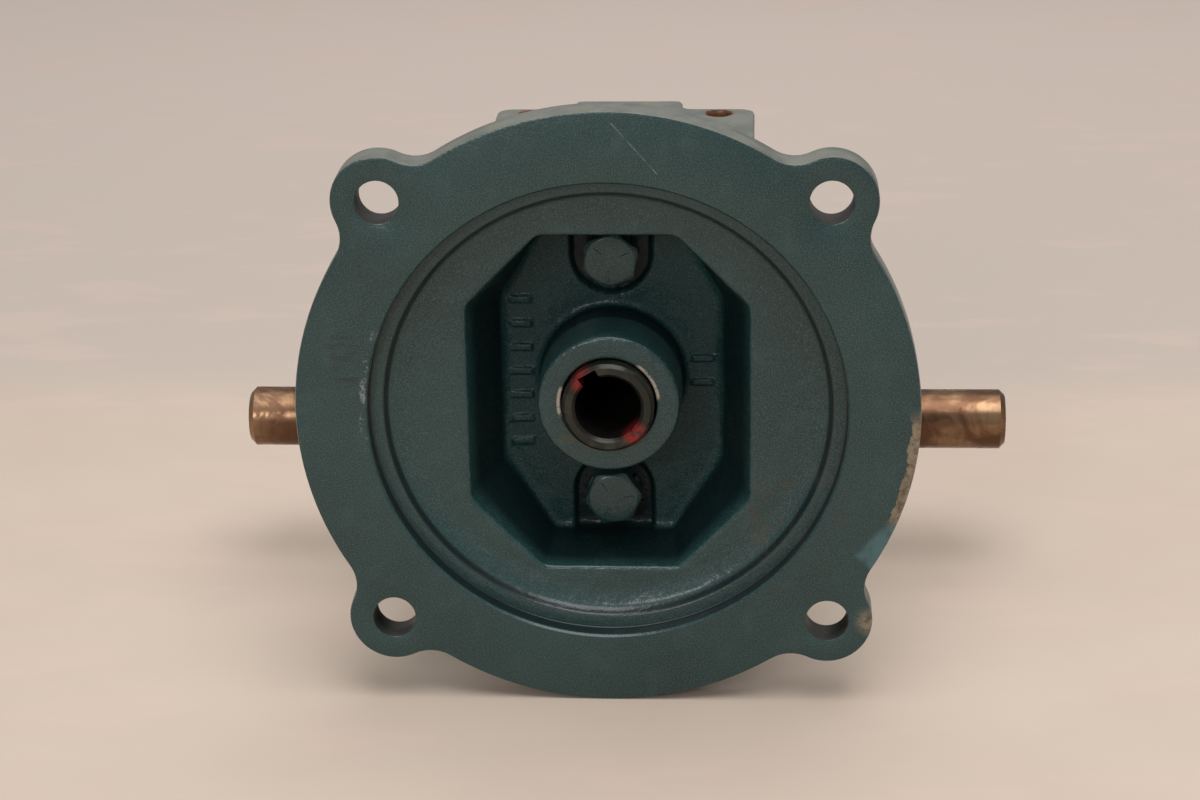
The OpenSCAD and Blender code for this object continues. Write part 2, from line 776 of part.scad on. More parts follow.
module drain_plug() {
  color([0.5, 0.48, 0.44]) translate([0, drain_y, drain_z]) along_y()
    pipe_plug(plug_radius - fit, plug_flats, plug_head_t, plug_reach);
}

plate_low = [60, 14];
plate_size = [44, 20];

module plate_pin_places() {
  for (share = [0.06, 0.94])
    translate([-housing_half_width, plate_low[0] + plate_size[0] * share, plate_low[1] + plate_size[1] / 2])
      rotate([0, -90, 0]) children();
}

module nameplate() {
  color("gainsboro") difference() {
    translate([-housing_half_width - 0.6, plate_low[0], plate_low[1]])
      cube([0.6, plate_size[0], plate_size[1]]);
    plate_pin_places() translate([0, 0, -overcut]) cylinder(r = 1.25, h = 3);
  }
}

module nameplate_pins() {
  color("silver") plate_pin_places() {
    translate([0, 0, -5]) cylinder(r = 1.2, h = 5.7);
    translate([0, 0, 0.6]) cylinder(r = 2, h = 0.8);
  }
}

// ---- Housing ------------------------------------------------------------------------------

module pad_holes() {
  for (x = [-1, 1], y = [-1, 1])
    translate([x * pad_spacing_x / 2, output_y + y * pad_spacing_y / 2, 0]) children();
}

module housing_outside() {
  on_worm(housing_y) cylinder(r = front_plate_radius, h = 9);
  on_worm(housing_y) cylinder(r = rear_boss_radius, h = rear_y - housing_y);
  rounded_block([-housing_half_width, box_front_y, -45], [housing_half_width, pad_rear_y, top_z], 5);
  rounded_block([-28, housing_y + 2, -37], [28, box_front_y + 8, 37], 2);
  translate([rib_x[0], pad_rear_y - 6, rib_low_z])
    cube([rib_x[1] - rib_x[0], rib_rear_y - pad_rear_y + 6, top_z - rib_low_z]);
  at_output(-side_face_x) cylinder(r = side_boss_radius, h = 2 * side_face_x);
  rounded_block([-housing_half_width, output_y - 37, -base_drop], [housing_half_width, output_y + 37, -62], 8);
  rounded_block([-12, output_y + 5, -72], [12, drain_y, -48], 4);
}

module gear_housing() {
  color([0.16, 0.29, 0.28]) difference() {
    housing_outside();
    on_worm(housing_y - overcut)
      cylinder(r = spigot_radius, h = front_bearing_y + 12 - housing_y + overcut);
    on_worm(front_bearing_y) cylinder(r = tunnel_radius, h = 80);
    on_worm(rear_bearing_y) cylinder(r = B6203[1], h = rear_y - rear_bearing_y + overcut);
    at_output(-side_face_x - overcut) cylinder(r = cavity_radius, h = 2 * side_face_x + 2 * overcut);
    for (z = [-bolt_z, bolt_z]) translate([0, housing_y - overcut, z]) along_y()
      cylinder(r = bolt_radius, h = 15);
    translate([0, rear_y - 11, 0]) along_y() cap_screw_places()
      cylinder(r = screw_radius + fit, h = 11 + overcut);
    both_sides() at_output(side_face_x - screw_reach) cover_screw_places()
      cylinder(r = screw_radius + fit, h = screw_reach + overcut);
    pad_holes() {
      translate([0, 0, top_z - pad_tap_depth]) cylinder(r = pad_tap, h = pad_tap_depth + overcut);
      translate([0, 0, -base_drop - overcut]) cylinder(r = pad_tap, h = pad_tap_depth + overcut);
    }
    translate([0, output_y, 0]) cylinder(r = plug_radius, h = top_z + overcut);
    on_worm(output_y) translate([0, vent_z]) cylinder(r = vent_passage, h = rib_rear_y - output_y);
    on_worm(rib_rear_y - plug_reach - overcut) translate([0, vent_z])
      cylinder(r = plug_radius, h = plug_reach + 2 * overcut);
    translate([-housing_half_width, level_y, level_z]) rotate([0, 90, 0]) translate([0, 0, -overcut])
      cylinder(r = plug_radius, h = 25);
    translate([0, drain_y, drain_z]) rotate([90, 0, 0]) translate([0, 0, -overcut])
      cylinder(r = plug_radius, h = 28);
    plate_pin_places() translate([0, 0, -5.5]) cylinder(r = 1.2 + fit, h = 6.5);
  }
}

gear_housing();
motor_flange();
flange_gasket();
flange_bolts();
flange_lock_washers();
input_oil_seal();
input_seal_spring();
worm_shaft();
front_retaining_ring();
rear_retaining_ring();
front_bearing_outer();
front_bearing_inner();
front_bearing_balls();
front_bearing_cage();
rear_bearing_outer();
rear_bearing_inner();
rear_bearing_balls();
rear_bearing_cage();
end_cap();
end_cap_gasket();
end_cap_screws();
bearing_shims();
output_shaft();
wheel_rim();
wheel_hub();
wheel_key();
wheel_spacer();
left_bearing_outer();
left_bearing_inner();
left_bearing_balls();
left_bearing_cage();
right_bearing_outer();
right_bearing_inner();
right_bearing_balls();
right_bearing_cage();
left_cover();
right_cover();
left_cover_gasket();
right_cover_gasket();
cover_screws();
left_oil_seal();
right_oil_seal();
output_seal_springs();
fill_plug();
vent_plug();
level_plug();
drain_plug();
nameplate();
nameplate_pins();
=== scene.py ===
"""Worm gearbox: painted castings, rusty shafts and the pieces inside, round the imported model."""
import math

import bmesh
import bpy
import numpy as np
from mathutils import Matrix, Vector, noise


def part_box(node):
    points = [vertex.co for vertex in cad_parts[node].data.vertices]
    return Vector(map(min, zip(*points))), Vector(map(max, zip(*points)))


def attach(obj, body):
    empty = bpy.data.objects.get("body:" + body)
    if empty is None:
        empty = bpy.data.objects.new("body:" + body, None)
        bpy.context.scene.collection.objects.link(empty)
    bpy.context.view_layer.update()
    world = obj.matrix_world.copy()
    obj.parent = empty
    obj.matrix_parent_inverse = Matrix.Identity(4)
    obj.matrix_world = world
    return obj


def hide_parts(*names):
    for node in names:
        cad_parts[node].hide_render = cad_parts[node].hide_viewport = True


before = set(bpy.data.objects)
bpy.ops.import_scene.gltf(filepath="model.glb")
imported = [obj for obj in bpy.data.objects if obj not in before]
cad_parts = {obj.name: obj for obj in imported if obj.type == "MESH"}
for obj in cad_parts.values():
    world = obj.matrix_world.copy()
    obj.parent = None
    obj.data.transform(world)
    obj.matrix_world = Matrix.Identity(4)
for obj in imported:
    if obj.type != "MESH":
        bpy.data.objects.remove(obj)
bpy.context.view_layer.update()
MM = 0.001

# ---- Driving dimensions, in millimetres -------------------------------------------------------

FLANGE_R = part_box("motor_flange")[1][2] / MM  # the round rim touches the top of the flange's box
FLANGE_T = 9.0
BOLT_REACH = 149.225 / 2
BOLT_HOLE_R = 5.16
EAR_R, EAR_BLEND = 11.0, 9.0
PILOT_R, PILOT_DEPTH = 57.15, 4.6
RING_INNER = 53.9
DISC_Y, FLOOR_Y, SEAT_Y, JOINT_Y = 8.0, 30.0, 31.5, 37.0
BACK_BOSS_R, BACK_BOSS_Y = 61.0, 14.5
POCKET_RIM = ((34.0, 24.7), (16.4, 42.3))
POCKET_FLOOR = ((27.0, 21.0), (15.1, 41.1))
POCKET_WALL = 6.0
PLATE_R = 41.0
HUB_BORE, HUB_R, HUB_FOOT_R, HUB_FACE_Y = 11.6, 17.2, 17.7, 8.3
BOLT_Z, SEAT_R = 31.0, 10.4
OUT_Y, OUT_Z = 88.9, -33.78
TOP_Z, BASE_Z = 45.0, -74.45
HOUSING_Y, REAR_Y = 37.4, 129.0
SIDE_X, SIDE_HALF = 36.0, 34.5
RIB_Y, VENT_Z = 124.0, 37.5
LEVEL_Y, LEVEL_Z = 58.0, 3.0
DRAIN_Y, DRAIN_Z = 126.0, -60.0
PAD_HOLE_X, PAD_HOLE_Y = 25, 22
CAP_Y = REAR_Y + 0.4


# ---- Mesh building ----------------------------------------------------------------------------

def piece(name, verts, faces, material, body, nodes=(), smooth=40, tidy=True):
    """A mesh piece from millimetre points, riding on a body and standing for CAD nodes."""
    mesh = bpy.data.meshes.new(name)
    mesh.from_pydata([tuple(v) for v in np.asarray(verts) * MM], [], faces)
    obj = bpy.data.objects.new(name, mesh)
    bpy.context.collection.objects.link(obj)
    bm = bmesh.new()
    bm.from_mesh(mesh)
    if tidy:
        bmesh.ops.remove_doubles(bm, verts=bm.verts, dist=0.002 * MM)
        bmesh.ops.recalc_face_normals(bm, faces=bm.faces)
    limit = math.radians(smooth)
    for face in bm.faces:
        face.smooth = True
    for edge in bm.edges:
        edge.smooth = len(edge.link_faces) == 2 and edge.calc_face_angle(0.0) < limit
    bm.to_mesh(mesh)
    bm.free()
    mesh.materials.append(material)
    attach(obj, body)
    if nodes:
        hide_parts(*nodes)
    return obj


def bridge(count, first, second):
    """Quads between two closed rings of count points that start at these indices."""
    return [(first + k, first + (k + 1) % count, second + (k + 1) % count, second + k)
            for k in range(count)]


class Shape:
    """Points and faces gathered for one piece."""

    def __init__(self):
        self.verts, self.faces = [], []

    def add(self, verts, faces):
        base = len(self.verts)
        self.verts.extend(tuple(v) for v in verts)
        self.faces.extend(tuple(base + k for k in face) for face in faces)

    def rings(self, rings, cap_first=True, cap_last=True):
        """A skin over equal closed rings of points."""
        count = len(rings[0])
        faces = []
        for k in range(len(rings) - 1):
            faces += bridge(count, k * count, (k + 1) * count)
        if cap_first:
            faces.append(tuple(range(count)))
        if cap_last:
            faces.append(tuple(range((len(rings) - 1) * count, len(rings) * count)))
        self.add([p for ring in rings for p in ring], faces)


AXES = {
    "+Y": lambda u, v, t: (u, t, v),
    "-Y": lambda u, v, t: (-u, -t, v),
    "+X": lambda u, v, t: (t, u, v),
    "-X": lambda u, v, t: (-t, -u, v),
    "+Z": lambda u, v, t: (u, v, t),
}


def place(points, centre, axis):
    """Points (u, v, t) turned so that t runs along axis, then moved to centre."""
    turn = AXES[axis]
    return [tuple(c + d for c, d in zip(centre, turn(*p))) for p in points]


def soft_profile(corners, steps=3):
    """A turned profile of (radius, along) whose corners are rounded by their third number."""
    out = []
    for k, (r, t, cut) in enumerate(corners):
        here = np.array((r, t))
        if cut == 0 or k in (0, len(corners) - 1):
            out.append(here)
            continue
        ends = []
        for other in (corners[k - 1], corners[k + 1]):
            way = np.array(other[:2]) - here
            ends.append(here + way * min(1, cut / max(np.linalg.norm(way), 1e-9)))
        for s in np.linspace(0, 1, steps + 1):
            out.append((1 - s) ** 2 * ends[0] + 2 * s * (1 - s) * here + s * s * ends[1])
    return out


def turned(shape, corners, centre, axis, count=96, closed=False):
    """A body of revolution. A profile that starts or ends off the axis is capped, or closed."""
    profile = soft_profile(corners)
    turn = np.linspace(0, 2 * np.pi, count, endpoint=False)
    rings = [place([(r * math.cos(a), r * math.sin(a), t) for a in turn], centre, axis)
             for r, t in profile]
    if closed:
        rings.append(rings[0])
    shape.rings(rings, cap_first=not closed, cap_last=not closed)


def hexagon(flats, count_per_side, corner):
    """A hexagon's outline with slightly rounded corners, as points from its centre."""
    points = []
    total = 6 * count_per_side
    for k in range(total):
        a = 2 * math.pi * (k + 0.5) / total
        away = [abs(math.cos(a - side * math.pi / 3)) for side in range(3)]
        r = sum((flats / 2 / max(c, 1e-6)) ** -corner for c in away) ** (-1 / corner)
        points.append((r * math.cos(a), r * math.sin(a)))
    return points


def hex_head(shape, flats, height, centre, axis, dome=0.0, spin=0.0):
    """A hex head from t = 0 up to t = height, its corners turned off to a 30 degree cone."""
    cos, sin = math.cos(spin), math.sin(spin)
    outline = [(u * cos - v * sin, u * sin + v * cos) for u, v in hexagon(flats, 8, 60)]
    face_r = flats * 0.465

    def ring(scale, t, cone=0.0, limit=None):
        out = []
        for u, v in outline:
            r = math.hypot(u, v)
            k = scale if limit is None else scale * min(1, limit / r)
            out.append((u * k, v * k, t - cone * max(0.0, r - face_r)))
        return place(out, centre, axis)

    shape.rings([
        ring(0.02, 0), ring(0.98, 0), ring(1, 0.2), ring(1, height - 0.35, 0.58),
        ring(0.994, height - 0.12, 0.58), ring(1, height - 0.05, 0, face_r * 1.01),
        ring(0.97, height, 0, face_r), ring(0.6, height + dome * 0.7, 0, face_r),
        ring(0.03, height + dome, 0, face_r),
    ])


# ---- Signed distances for the sand castings ---------------------------------------------------

def d_cylinder(p, centre, axis, radius, low, high, edge=0.0):
    """Distance to a cylinder along axis 0, 1 or 2 from low to high, with rounded rims."""
    u, v = [k for k in range(3) if k != axis]
    across = np.hypot(p[..., u] - centre[u], p[..., v] - centre[v]) - radius + edge
    along = np.abs(p[..., axis] - (low + high) / 2) - (high - low) / 2 + edge
    outside = np.hypot(np.maximum(across, 0), np.maximum(along, 0))
    return outside + np.minimum(np.maximum(across, along), 0) - edge


def d_box(p, low, high, edge=0.0):
    low, high = np.array(low, float), np.array(high, float)
    q = np.abs(p - (low + high) / 2) - (high - low) / 2 + edge
    return np.linalg.norm(np.maximum(q, 0), axis=-1) + np.minimum(q.max(axis=-1), 0) - edge


def blend_union(a, b, k):
    h = np.maximum(k - np.abs(a - b), 0)
    return np.minimum(a, b) - h * h / (4 * k)


def blend_cut(a, b, k):
    """a with b taken out of it, the edge softened by k."""
    return -blend_union(-a, b, k)


def surface_nets(distance, low, high, step):
    """Points and quads of the surface where distance is zero, pulled onto it exactly."""
    axes = [np.arange(lo - step, hi + 2 * step, step) for lo, hi in zip(low, high)]
    grid = np.stack(np.meshgrid(*axes, indexing="ij"), -1)
    value = distance(grid)
    inside = value < 0
    shape = [n - 1 for n in value.shape]
    total, hits = np.zeros(shape + [3]), np.zeros(shape)
    corners = [(i, j, k) for i in (0, 1) for j in (0, 1) for k in (0, 1)]

    def window(array, c):
        return array[c[0]:c[0] + shape[0], c[1]:c[1] + shape[1], c[2]:c[2] + shape[2]]

    for a in corners:
        for axis in range(3):
            if a[axis]:
                continue
            b = tuple(n + (k == axis) for k, n in enumerate(a))
            va, vb = window(value, a), window(value, b)
            cross = (va < 0) != (vb < 0)
            share = np.where(cross, va / np.where(cross, va - vb, 1), 0)
            for k in range(3):
                where = a[k] + (share if k == axis else 0)
                total[..., k] += np.where(cross, where, 0)
            hits += cross
    active = hits > 0
    index = np.full(shape, -1)
    index[active] = np.arange(active.sum())
    cell = np.argwhere(active)
    origin = np.array([a[0] for a in axes])
    points = origin + (cell + total[active] / hits[active][:, None]) * step
    for _ in range(4):
        here = distance(points)
        slope = np.stack([
            (distance(points + e) - distance(points - e)) / 0.1
            for e in np.eye(3) * 0.05], -1)
        move = here[:, None] * slope / np.maximum((slope ** 2).sum(-1), 0.3)[:, None]
        points -= np.clip(move, -0.4 * step, 0.4 * step)
    faces = []
    for axis in range(3):
        u, v = (axis + 1) % 3, (axis + 2) % 3
        ahead = [slice(None)] * 3
        back = [slice(None)] * 3
        ahead[axis], back[axis] = slice(1, None), slice(None, -1)
        change = inside[tuple(back)] != inside[tuple(ahead)]
        edges = np.argwhere(change)
        edges = edges[(edges[:, u] > 0) & (edges[:, v] > 0)]
        keep = (edges[:, u] < shape[u]) & (edges[:, v] < shape[v])
        edges = edges[keep]
        quad = []
        for du, dv in ((1, 1), (0, 1), (0, 0), (1, 0)):
            c = edges.copy()
            c[:, u] -= du
            c[:, v] -= dv
            quad.append(index[c[:, 0], c[:, 1], c[:, 2]])
        quad = np.stack(quad, -1)
        flip = ~inside[edges[:, 0], edges[:, 1], edges[:, 2]]
        quad[flip] = quad[flip][:, ::-1]
        faces.append(quad)
    return points, [tuple(int(n) for n in f) for f in np.concatenate(faces)]


# ---- Materials --------------------------------------------------------------------------------

class Nodes:
    """A short way to write a procedural material."""

    def __init__(self, name):
        self.material = bpy.data.materials.new(name)
        self.material.use_nodes = True
        self.tree = self.material.node_tree
        self.shader = self.tree.nodes["Principled BSDF"]
        self.where = self.tree.nodes.new("ShaderNodeTexCoord").outputs["Object"]

    def link(self, value, socket):
        if isinstance(value, bpy.types.NodeSocket):
            self.tree.links.new(value, socket)
        else:
            socket.default_value = value

    def stretched(self, scale):
        node = self.tree.nodes.new("ShaderNodeMapping")
        node.inputs["Scale"].default_value = scale
        self.link(self.where, node.inputs["Vector"])
        return node.outputs["Vector"]

    def noise(self, scale, detail=3.0, rough=0.5, warp=0.0, where=None):
        node = self.tree.nodes.new("ShaderNodeTexNoise")
        self.link(where or self.where, node.inputs["Vector"])
        node.inputs["Scale"].default_value = scale
        node.inputs["Detail"].default_value = detail
        node.inputs["Roughness"].default_value = rough
        node.inputs["Distortion"].default_value = warp
        return node.outputs["Fac"]

    def cells(self, scale, feature="F1", where=None):
        node = self.tree.nodes.new("ShaderNodeTexVoronoi")
        node.feature = feature
        self.link(where or self.where, node.inputs["Vector"])
        node.inputs["Scale"].default_value = scale
        return node.outputs["Distance"]

    def math(self, kind, a, b=0.0, clamp=False):
        node = self.tree.nodes.new("ShaderNodeMath")
        node.operation, node.use_clamp = kind, clamp
        self.link(a, node.inputs[0])
        self.link(b, node.inputs[1])
        return node.outputs[0]

    def span(self, value, low, high, to_low=0.0, to_high=1.0):
        """value mapped from low..high to to_low..to_high, smoothly and clamped."""
        node = self.tree.nodes.new("ShaderNodeMapRange")
        node.interpolation_type = "SMOOTHSTEP"
        for socket, number in zip(node.inputs[1:5], (low, high, to_low, to_high)):
            socket.default_value = number
        self.link(value, node.inputs[0])
        return node.outputs[0]

    def mix(self, share, a, b):
        node = self.tree.nodes.new("ShaderNodeMix")
        node.data_type = "RGBA"
        self.link(share, node.inputs[0])
        for value, socket in ((a, node.inputs[6]), (b, node.inputs[7])):
            self.link((*value, 1.0) if isinstance(value, tuple) else value, socket)
        return node.outputs[2]

    def axis(self, name):
        """One coordinate of the object position, in metres."""
        node = self.tree.nodes.new("ShaderNodeSeparateXYZ")
        self.link(self.where, node.inputs[0])
        return node.outputs[name]

    def facing(self, name):
        """One component of the surface normal."""
        geometry = self.tree.nodes.new("ShaderNodeNewGeometry")
        node = self.tree.nodes.new("ShaderNodeSeparateXYZ")
        self.link(geometry.outputs["Normal"], node.inputs[0])
        return node.outputs[name]

    def bump(self, height, strength, distance, onto=None):
        node = self.tree.nodes.new("ShaderNodeBump")
        node.inputs["Strength"].default_value = strength
        node.inputs["Distance"].default_value = distance
        self.link(height, node.inputs["Height"])
        if onto:
            self.link(onto, node.inputs["Normal"])
        return node.outputs["Normal"]

    def done(self, color, rough, normal=None, metal=0.0, coat=0.0, coat_rough=0.1, level=0.5):
        for value, name in ((color, "Base Color"), (rough, "Roughness"), (metal, "Metallic")):
            if isinstance(value, tuple):
                value = (*value, 1.0)
            self.link(value, self.shader.inputs[name])
        self.shader.inputs["Coat Weight"].default_value = coat
        self.shader.inputs["Coat Roughness"].default_value = coat_rough
        self.shader.inputs["Specular IOR Level"].default_value = level
        if normal:
            self.link(normal, self.shader.inputs["Normal"])
            if coat:
                self.link(normal, self.shader.inputs["Coat Normal"])
        return self.material


TEAL = (0.0115, 0.0410, 0.0410)
TEAL_DARK = (0.0055, 0.0265, 0.0275)
TEAL_PALE = (0.050, 0.088, 0.083)
# Pale teal of the glints painted as specks on the enamel
GLINT_SPECK = (0.053, 0.110, 0.104)
# Near-black teal painted as shade in the flange's recesses and pocket
RECESS_SHADE = (0.0035, 0.0095, 0.0100)
HOLE_RUST = (0.13, 0.042, 0.016)
DUST = (0.20, 0.195, 0.160)
RUST = (0.16, 0.060, 0.022)
PRIMER = (0.24, 0.19, 0.13)


def length_of(n, a, b):
    return n.math("SQRT", n.math("ADD", n.math("MULTIPLY", a, a), n.math("MULTIPLY", b, b)))


def radius_of(n):
    """Distance from the worm axis, in metres."""
    return length_of(n, n.axis("X"), n.axis("Z"))


def band(n, value, middle, half, soft):
    """1 where value is within half of middle, fading to 0 over soft. All in millimetres."""
    away = n.math("ABSOLUTE", n.math("SUBTRACT", value, middle * MM))
    return n.span(away, half * MM, (half + soft) * MM, 1.0, 0.0)


def paint(name, grain=1.0, flange=False, pocket=False, dust=0.75, coat=0.4, level=0.35):
    """Sea-green enamel over iron. grain is how rough the casting under it is."""
    n = Nodes(name)
    clouds = n.noise(14, 4, 0.6, 0.4)
    blotch = n.noise(130, 4, 0.65)
    glint_speck = n.noise(3000, 2, 0.6)
    color = n.mix(n.span(clouds, 0.35, 0.7), TEAL_DARK, TEAL)
    color = n.mix(n.math("MULTIPLY", n.span(blotch, 0.5, 0.78), 0.3), color, TEAL_PALE)
    # Pale specks painted as small glints on the grainy enamel
    color = n.mix(n.math("MULTIPLY", n.span(glint_speck, 0.46, 0.7), 0.7), color, GLINT_SPECK)
    upward = n.span(n.facing("Z"), 0.35, 0.95)
    settled = n.math("MULTIPLY", upward, n.span(n.noise(90, 5, 0.7), 0.3, 0.62, 0.5, 1.0))
    settled = n.math("MULTIPLY", settled, dust)
    if flange:
        settled = n.math("MULTIPLY", settled, n.span(radius_of(n), 0.0733, 0.0738))
        # Painted shade in the corners of the pilot recess
        color = n.mix(times(n, ring_painted_shade(n), 0.85), color, RECESS_SHADE)
    if pocket:
        # Painted shade on the pocket's floor, walls and bolt seats
        color = n.mix(pocket_painted_shade(n), color, RECESS_SHADE)
    color = n.mix(settled, color, DUST)
    rough = n.span(blotch, 0.3, 0.75, 0.34, 0.5)
    rough = n.math("ADD", rough, n.math("MULTIPLY", settled, 0.3), clamp=True)
    normal = n.bump(n.noise(1500, 2, 0.5), 0.4, 0.0001)
    normal = n.bump(n.noise(620, 3, 0.6), 0.4 * grain, 0.00025, normal)
    normal = n.bump(n.noise(240, 3, 0.55), 0.3 * grain, 0.0005, normal)
    if flange:
        color, rough, normal = flange_wear_and_glint(n, color, rough, normal)
    elif not pocket:
        color = n.mix(tapped_rust(n), color, HOLE_RUST)
    return n.done(color, rough, normal, 0.0, coat=coat, coat_rough=0.15, level=level)


def ring_painted_shade(n):
    """Painted shade: dark lines at the wall of the pilot recess and at the raised disc's edge."""
    away = radius_of(n)
    wall = times(n, band(n, away, PILOT_R, 0.25, 0.3), n.span(n.axis("Y"), 0.0006, 0.0012))
    edge = band(n, away, RING_INNER - 0.5, 0.35, 0.5)
    return n.math("MAXIMUM", wall, edge)


def pocket_painted_shade(n):
    """Painted shade: darker deeper in the pocket and on its walls, and darker still round the two bolt
    heads in their U-shaped seats.
    """
    depth = n.span(n.axis("Y"), (DISC_Y + 0.5) * MM, (DISC_Y + 7) * MM)
    wall = n.span(n.math("ABSOLUTE", n.facing("Y")), 0.3, 0.85, 0.86, 0.1)
    past = n.math("MINIMUM", n.math("SUBTRACT", n.math("ABSOLUTE", n.axis("Z")), BOLT_Z * MM), 0.0)
    seat = n.span(length_of(n, n.axis("X"), past), (SEAT_R - 1.0) * MM, (SEAT_R + 0.8) * MM, 0.95, 0.0)
    seat = times(n, seat, n.span(n.axis("Y"), 0.026, 0.029))
    return times(n, depth, n.math("MAXIMUM", wall, seat))


def tapped_rust(n):
    """Rust in and round the tapped holes of the top and base pads."""
    dx = n.math("SUBTRACT", n.math("ABSOLUTE", n.axis("X")), PAD_HOLE_X * MM)
    dy = n.math("ABSOLUTE", n.math("SUBTRACT", n.axis("Y"), OUT_Y * MM))
    dy = n.math("SUBTRACT", dy, PAD_HOLE_Y * MM)
    near_hole = n.span(length_of(n, dx, dy), 0.0034, 0.0046, 1.0, 0.0)
    return times(n, near_hole, n.span(n.noise(300, 4, 0.6), 0.28, 0.5))


def near(n, x, z, radius, soft):
    """1 inside a circle about (x, z) in the flange's plane, in millimetres, fading to 0."""
    dx = n.math("SUBTRACT", n.axis("X"), x * MM)
    dz = n.math("SUBTRACT", n.axis("Z"), z * MM)
    away = length_of(n, dx, dz)
    return n.span(away, (radius - soft) * MM, (radius + soft) * MM, 1.0, 0.0)


def times(n, *shares):
    out = shares[0]
    for share in shares[1:]:
        out = n.math("MULTIPLY", out, share)
    return out


def stroke(n, x, z, turn, half_length, half_width, soft):
    """1 on a straight mark about (x, z) in the flange's plane, turned by turn degrees."""
    dx = n.math("SUBTRACT", n.axis("X"), x * MM)
    dz = n.math("SUBTRACT", n.axis("Z"), z * MM)
    c, s = math.cos(math.radians(turn)), math.sin(math.radians(turn))
    along = n.math("ADD", n.math("MULTIPLY", dx, c), n.math("MULTIPLY", dz, s))
    across = n.math("SUBTRACT", n.math("MULTIPLY", dz, c), n.math("MULTIPLY", dx, s))
    return times(n, band(n, along, 0, half_length - soft, 2 * soft),
                 band(n, across, 0, half_width - soft, 2 * soft))


def flange_wear_and_glint(n, color, rough, normal):
    """Paint knocked off the lower right rim, with scuffs, smudges and stains on the face, and painted
    highlights on the edge of the hub's bore.
    """
    away = radius_of(n)
    rim = n.span(away, (FLANGE_R - 4.2) * MM, (FLANGE_R - 0.8) * MM, -0.3, 0.3)
    ragged = n.noise(170, 5, 0.7, 0.6)
    spot = n.math("MAXIMUM", near(n, 75, -9, 9, 3), near(n, 73, -22, 7, 3))
    spot = n.math("MAXIMUM", spot, times(n, near(n, 63.5, -53, 3, 2), 0.9))
    worn = times(n, spot, n.span(n.math("ADD", ragged, rim), 0.52, 0.57))
    bare = n.mix(n.span(n.noise(420, 4, 0.7), 0.4, 0.66), PRIMER, (0.10, 0.07, 0.045))
    color = n.mix(worn, color, bare)
    rough = n.math("ADD", rough, times(n, worn, 0.35), clamp=True)
    normal = n.bump(worn, 0.6, -0.0003, normal)
    front = n.span(n.axis("Y"), 0.0007, 0.002, 1.0, 0.0)
    streak = n.noise(75, 4, 0.75, 0.0, n.stretched((1.0, 1.0, 7.0)))
    smudge = n.math("MAXIMUM", near(n, -62.5, 17, 3.4, 2.0), near(n, -62.0, 10.5, 3.4, 2.0))
    color = n.mix(times(n, smudge, front, n.span(streak, 0.45, 0.55), 0.6), color,
                  (0.010, 0.016, 0.016))
    groove = n.span(n.math("ABSOLUTE", n.math("SUBTRACT", away, 0.0583)), 0.0004, 0.0011, 1.0, 0.0)
    scuff = times(n, groove, near(n, -57.6, 8, 13, 5), n.span(n.noise(420, 4, 0.8), 0.5, 0.62))
    color = n.mix(times(n, scuff, 0.7), color, (0.24, 0.27, 0.28))
    stain = times(n, near(n, 40, -27, 14, 10), n.span(n.noise(120, 4, 0.7), 0.5, 0.68), 0.55)
    color = n.mix(stain, color, (0.055, 0.040, 0.026))
    smear = times(n, stroke(n, 66.0, -33.5, 48, 6.0, 3.6, 0.9),
                  n.span(n.noise(110, 3, 0.6), 0.35, 0.55, 0.3, 0.85))
    color = n.mix(smear, color, (0.060, 0.140, 0.152))
    scratch = times(n, stroke(n, 7.2, 65.7, -49, 8.0, 0.14, 0.06),
                    n.span(n.noise(300, 3, 0.6), 0.35, 0.6))
    color = n.mix(times(n, scratch, 0.6), color, (0.17, 0.24, 0.24))
    # Painted highlight: pale glints on the edge of the hub's bore, at about two and nine o'clock
    glint_places = n.math("MAXIMUM", near(n, 9.6, 5.6, 4.8, 0.8), near(n, -11.4, 0.6, 3.6, 0.6))
    bore_edge_glint = times(n, n.span(away, 0.0122, 0.0127, 1.0, 0.0), glint_places,
                n.span(n.noise(420, 4, 0.7), 0.32, 0.44))
    color = n.mix(times(n, bore_edge_glint, 0.95), color, (0.42, 0.36, 0.30))
    brown = times(n, near(n, -7.5, -9.5, 4.0, 3.0), n.span(n.noise(300, 4, 0.7), 0.4, 0.6), 0.5)
    color = n.mix(brown, color, (0.09, 0.065, 0.025))
    return color, rough, normal


def filmed_steel(name):
    """Turned steel under a thin brown film: fine rings round X, cloudy patches, rust spots."""
    n = Nodes(name)
    ring = n.noise(900, 3, 0.6, 0.0, n.stretched((1.0, 0.06, 0.06)))
    patch = n.noise(75, 4, 0.6, 0.5)
    fine = n.noise(900, 3, 0.6)
    color = n.mix(n.span(patch, 0.42, 0.6), (0.125, 0.062, 0.034), (0.29, 0.175, 0.098))
    color = n.mix(times(n, n.span(ring, 0.4, 0.7), 0.3), color, (0.15, 0.085, 0.050))
    rust = n.span(n.noise(130, 4, 0.7, 0.8), 0.52, 0.64)
    color = n.mix(times(n, rust, 0.6), color, RUST)
    color = n.mix(times(n, n.span(fine, 0.55, 0.75), 0.3), color, (0.07, 0.035, 0.02))
    normal = n.bump(ring, 0.1, 0.00005)
    normal = n.bump(fine, 0.12, 0.00005, normal)
    gloss = n.math("ADD", n.span(patch, 0.3, 0.7, 0.38, 0.24), times(n, rust, 0.2))
    return n.done(color, gloss, normal, n.span(rust, 0.0, 1.0, 0.9, 0.45))


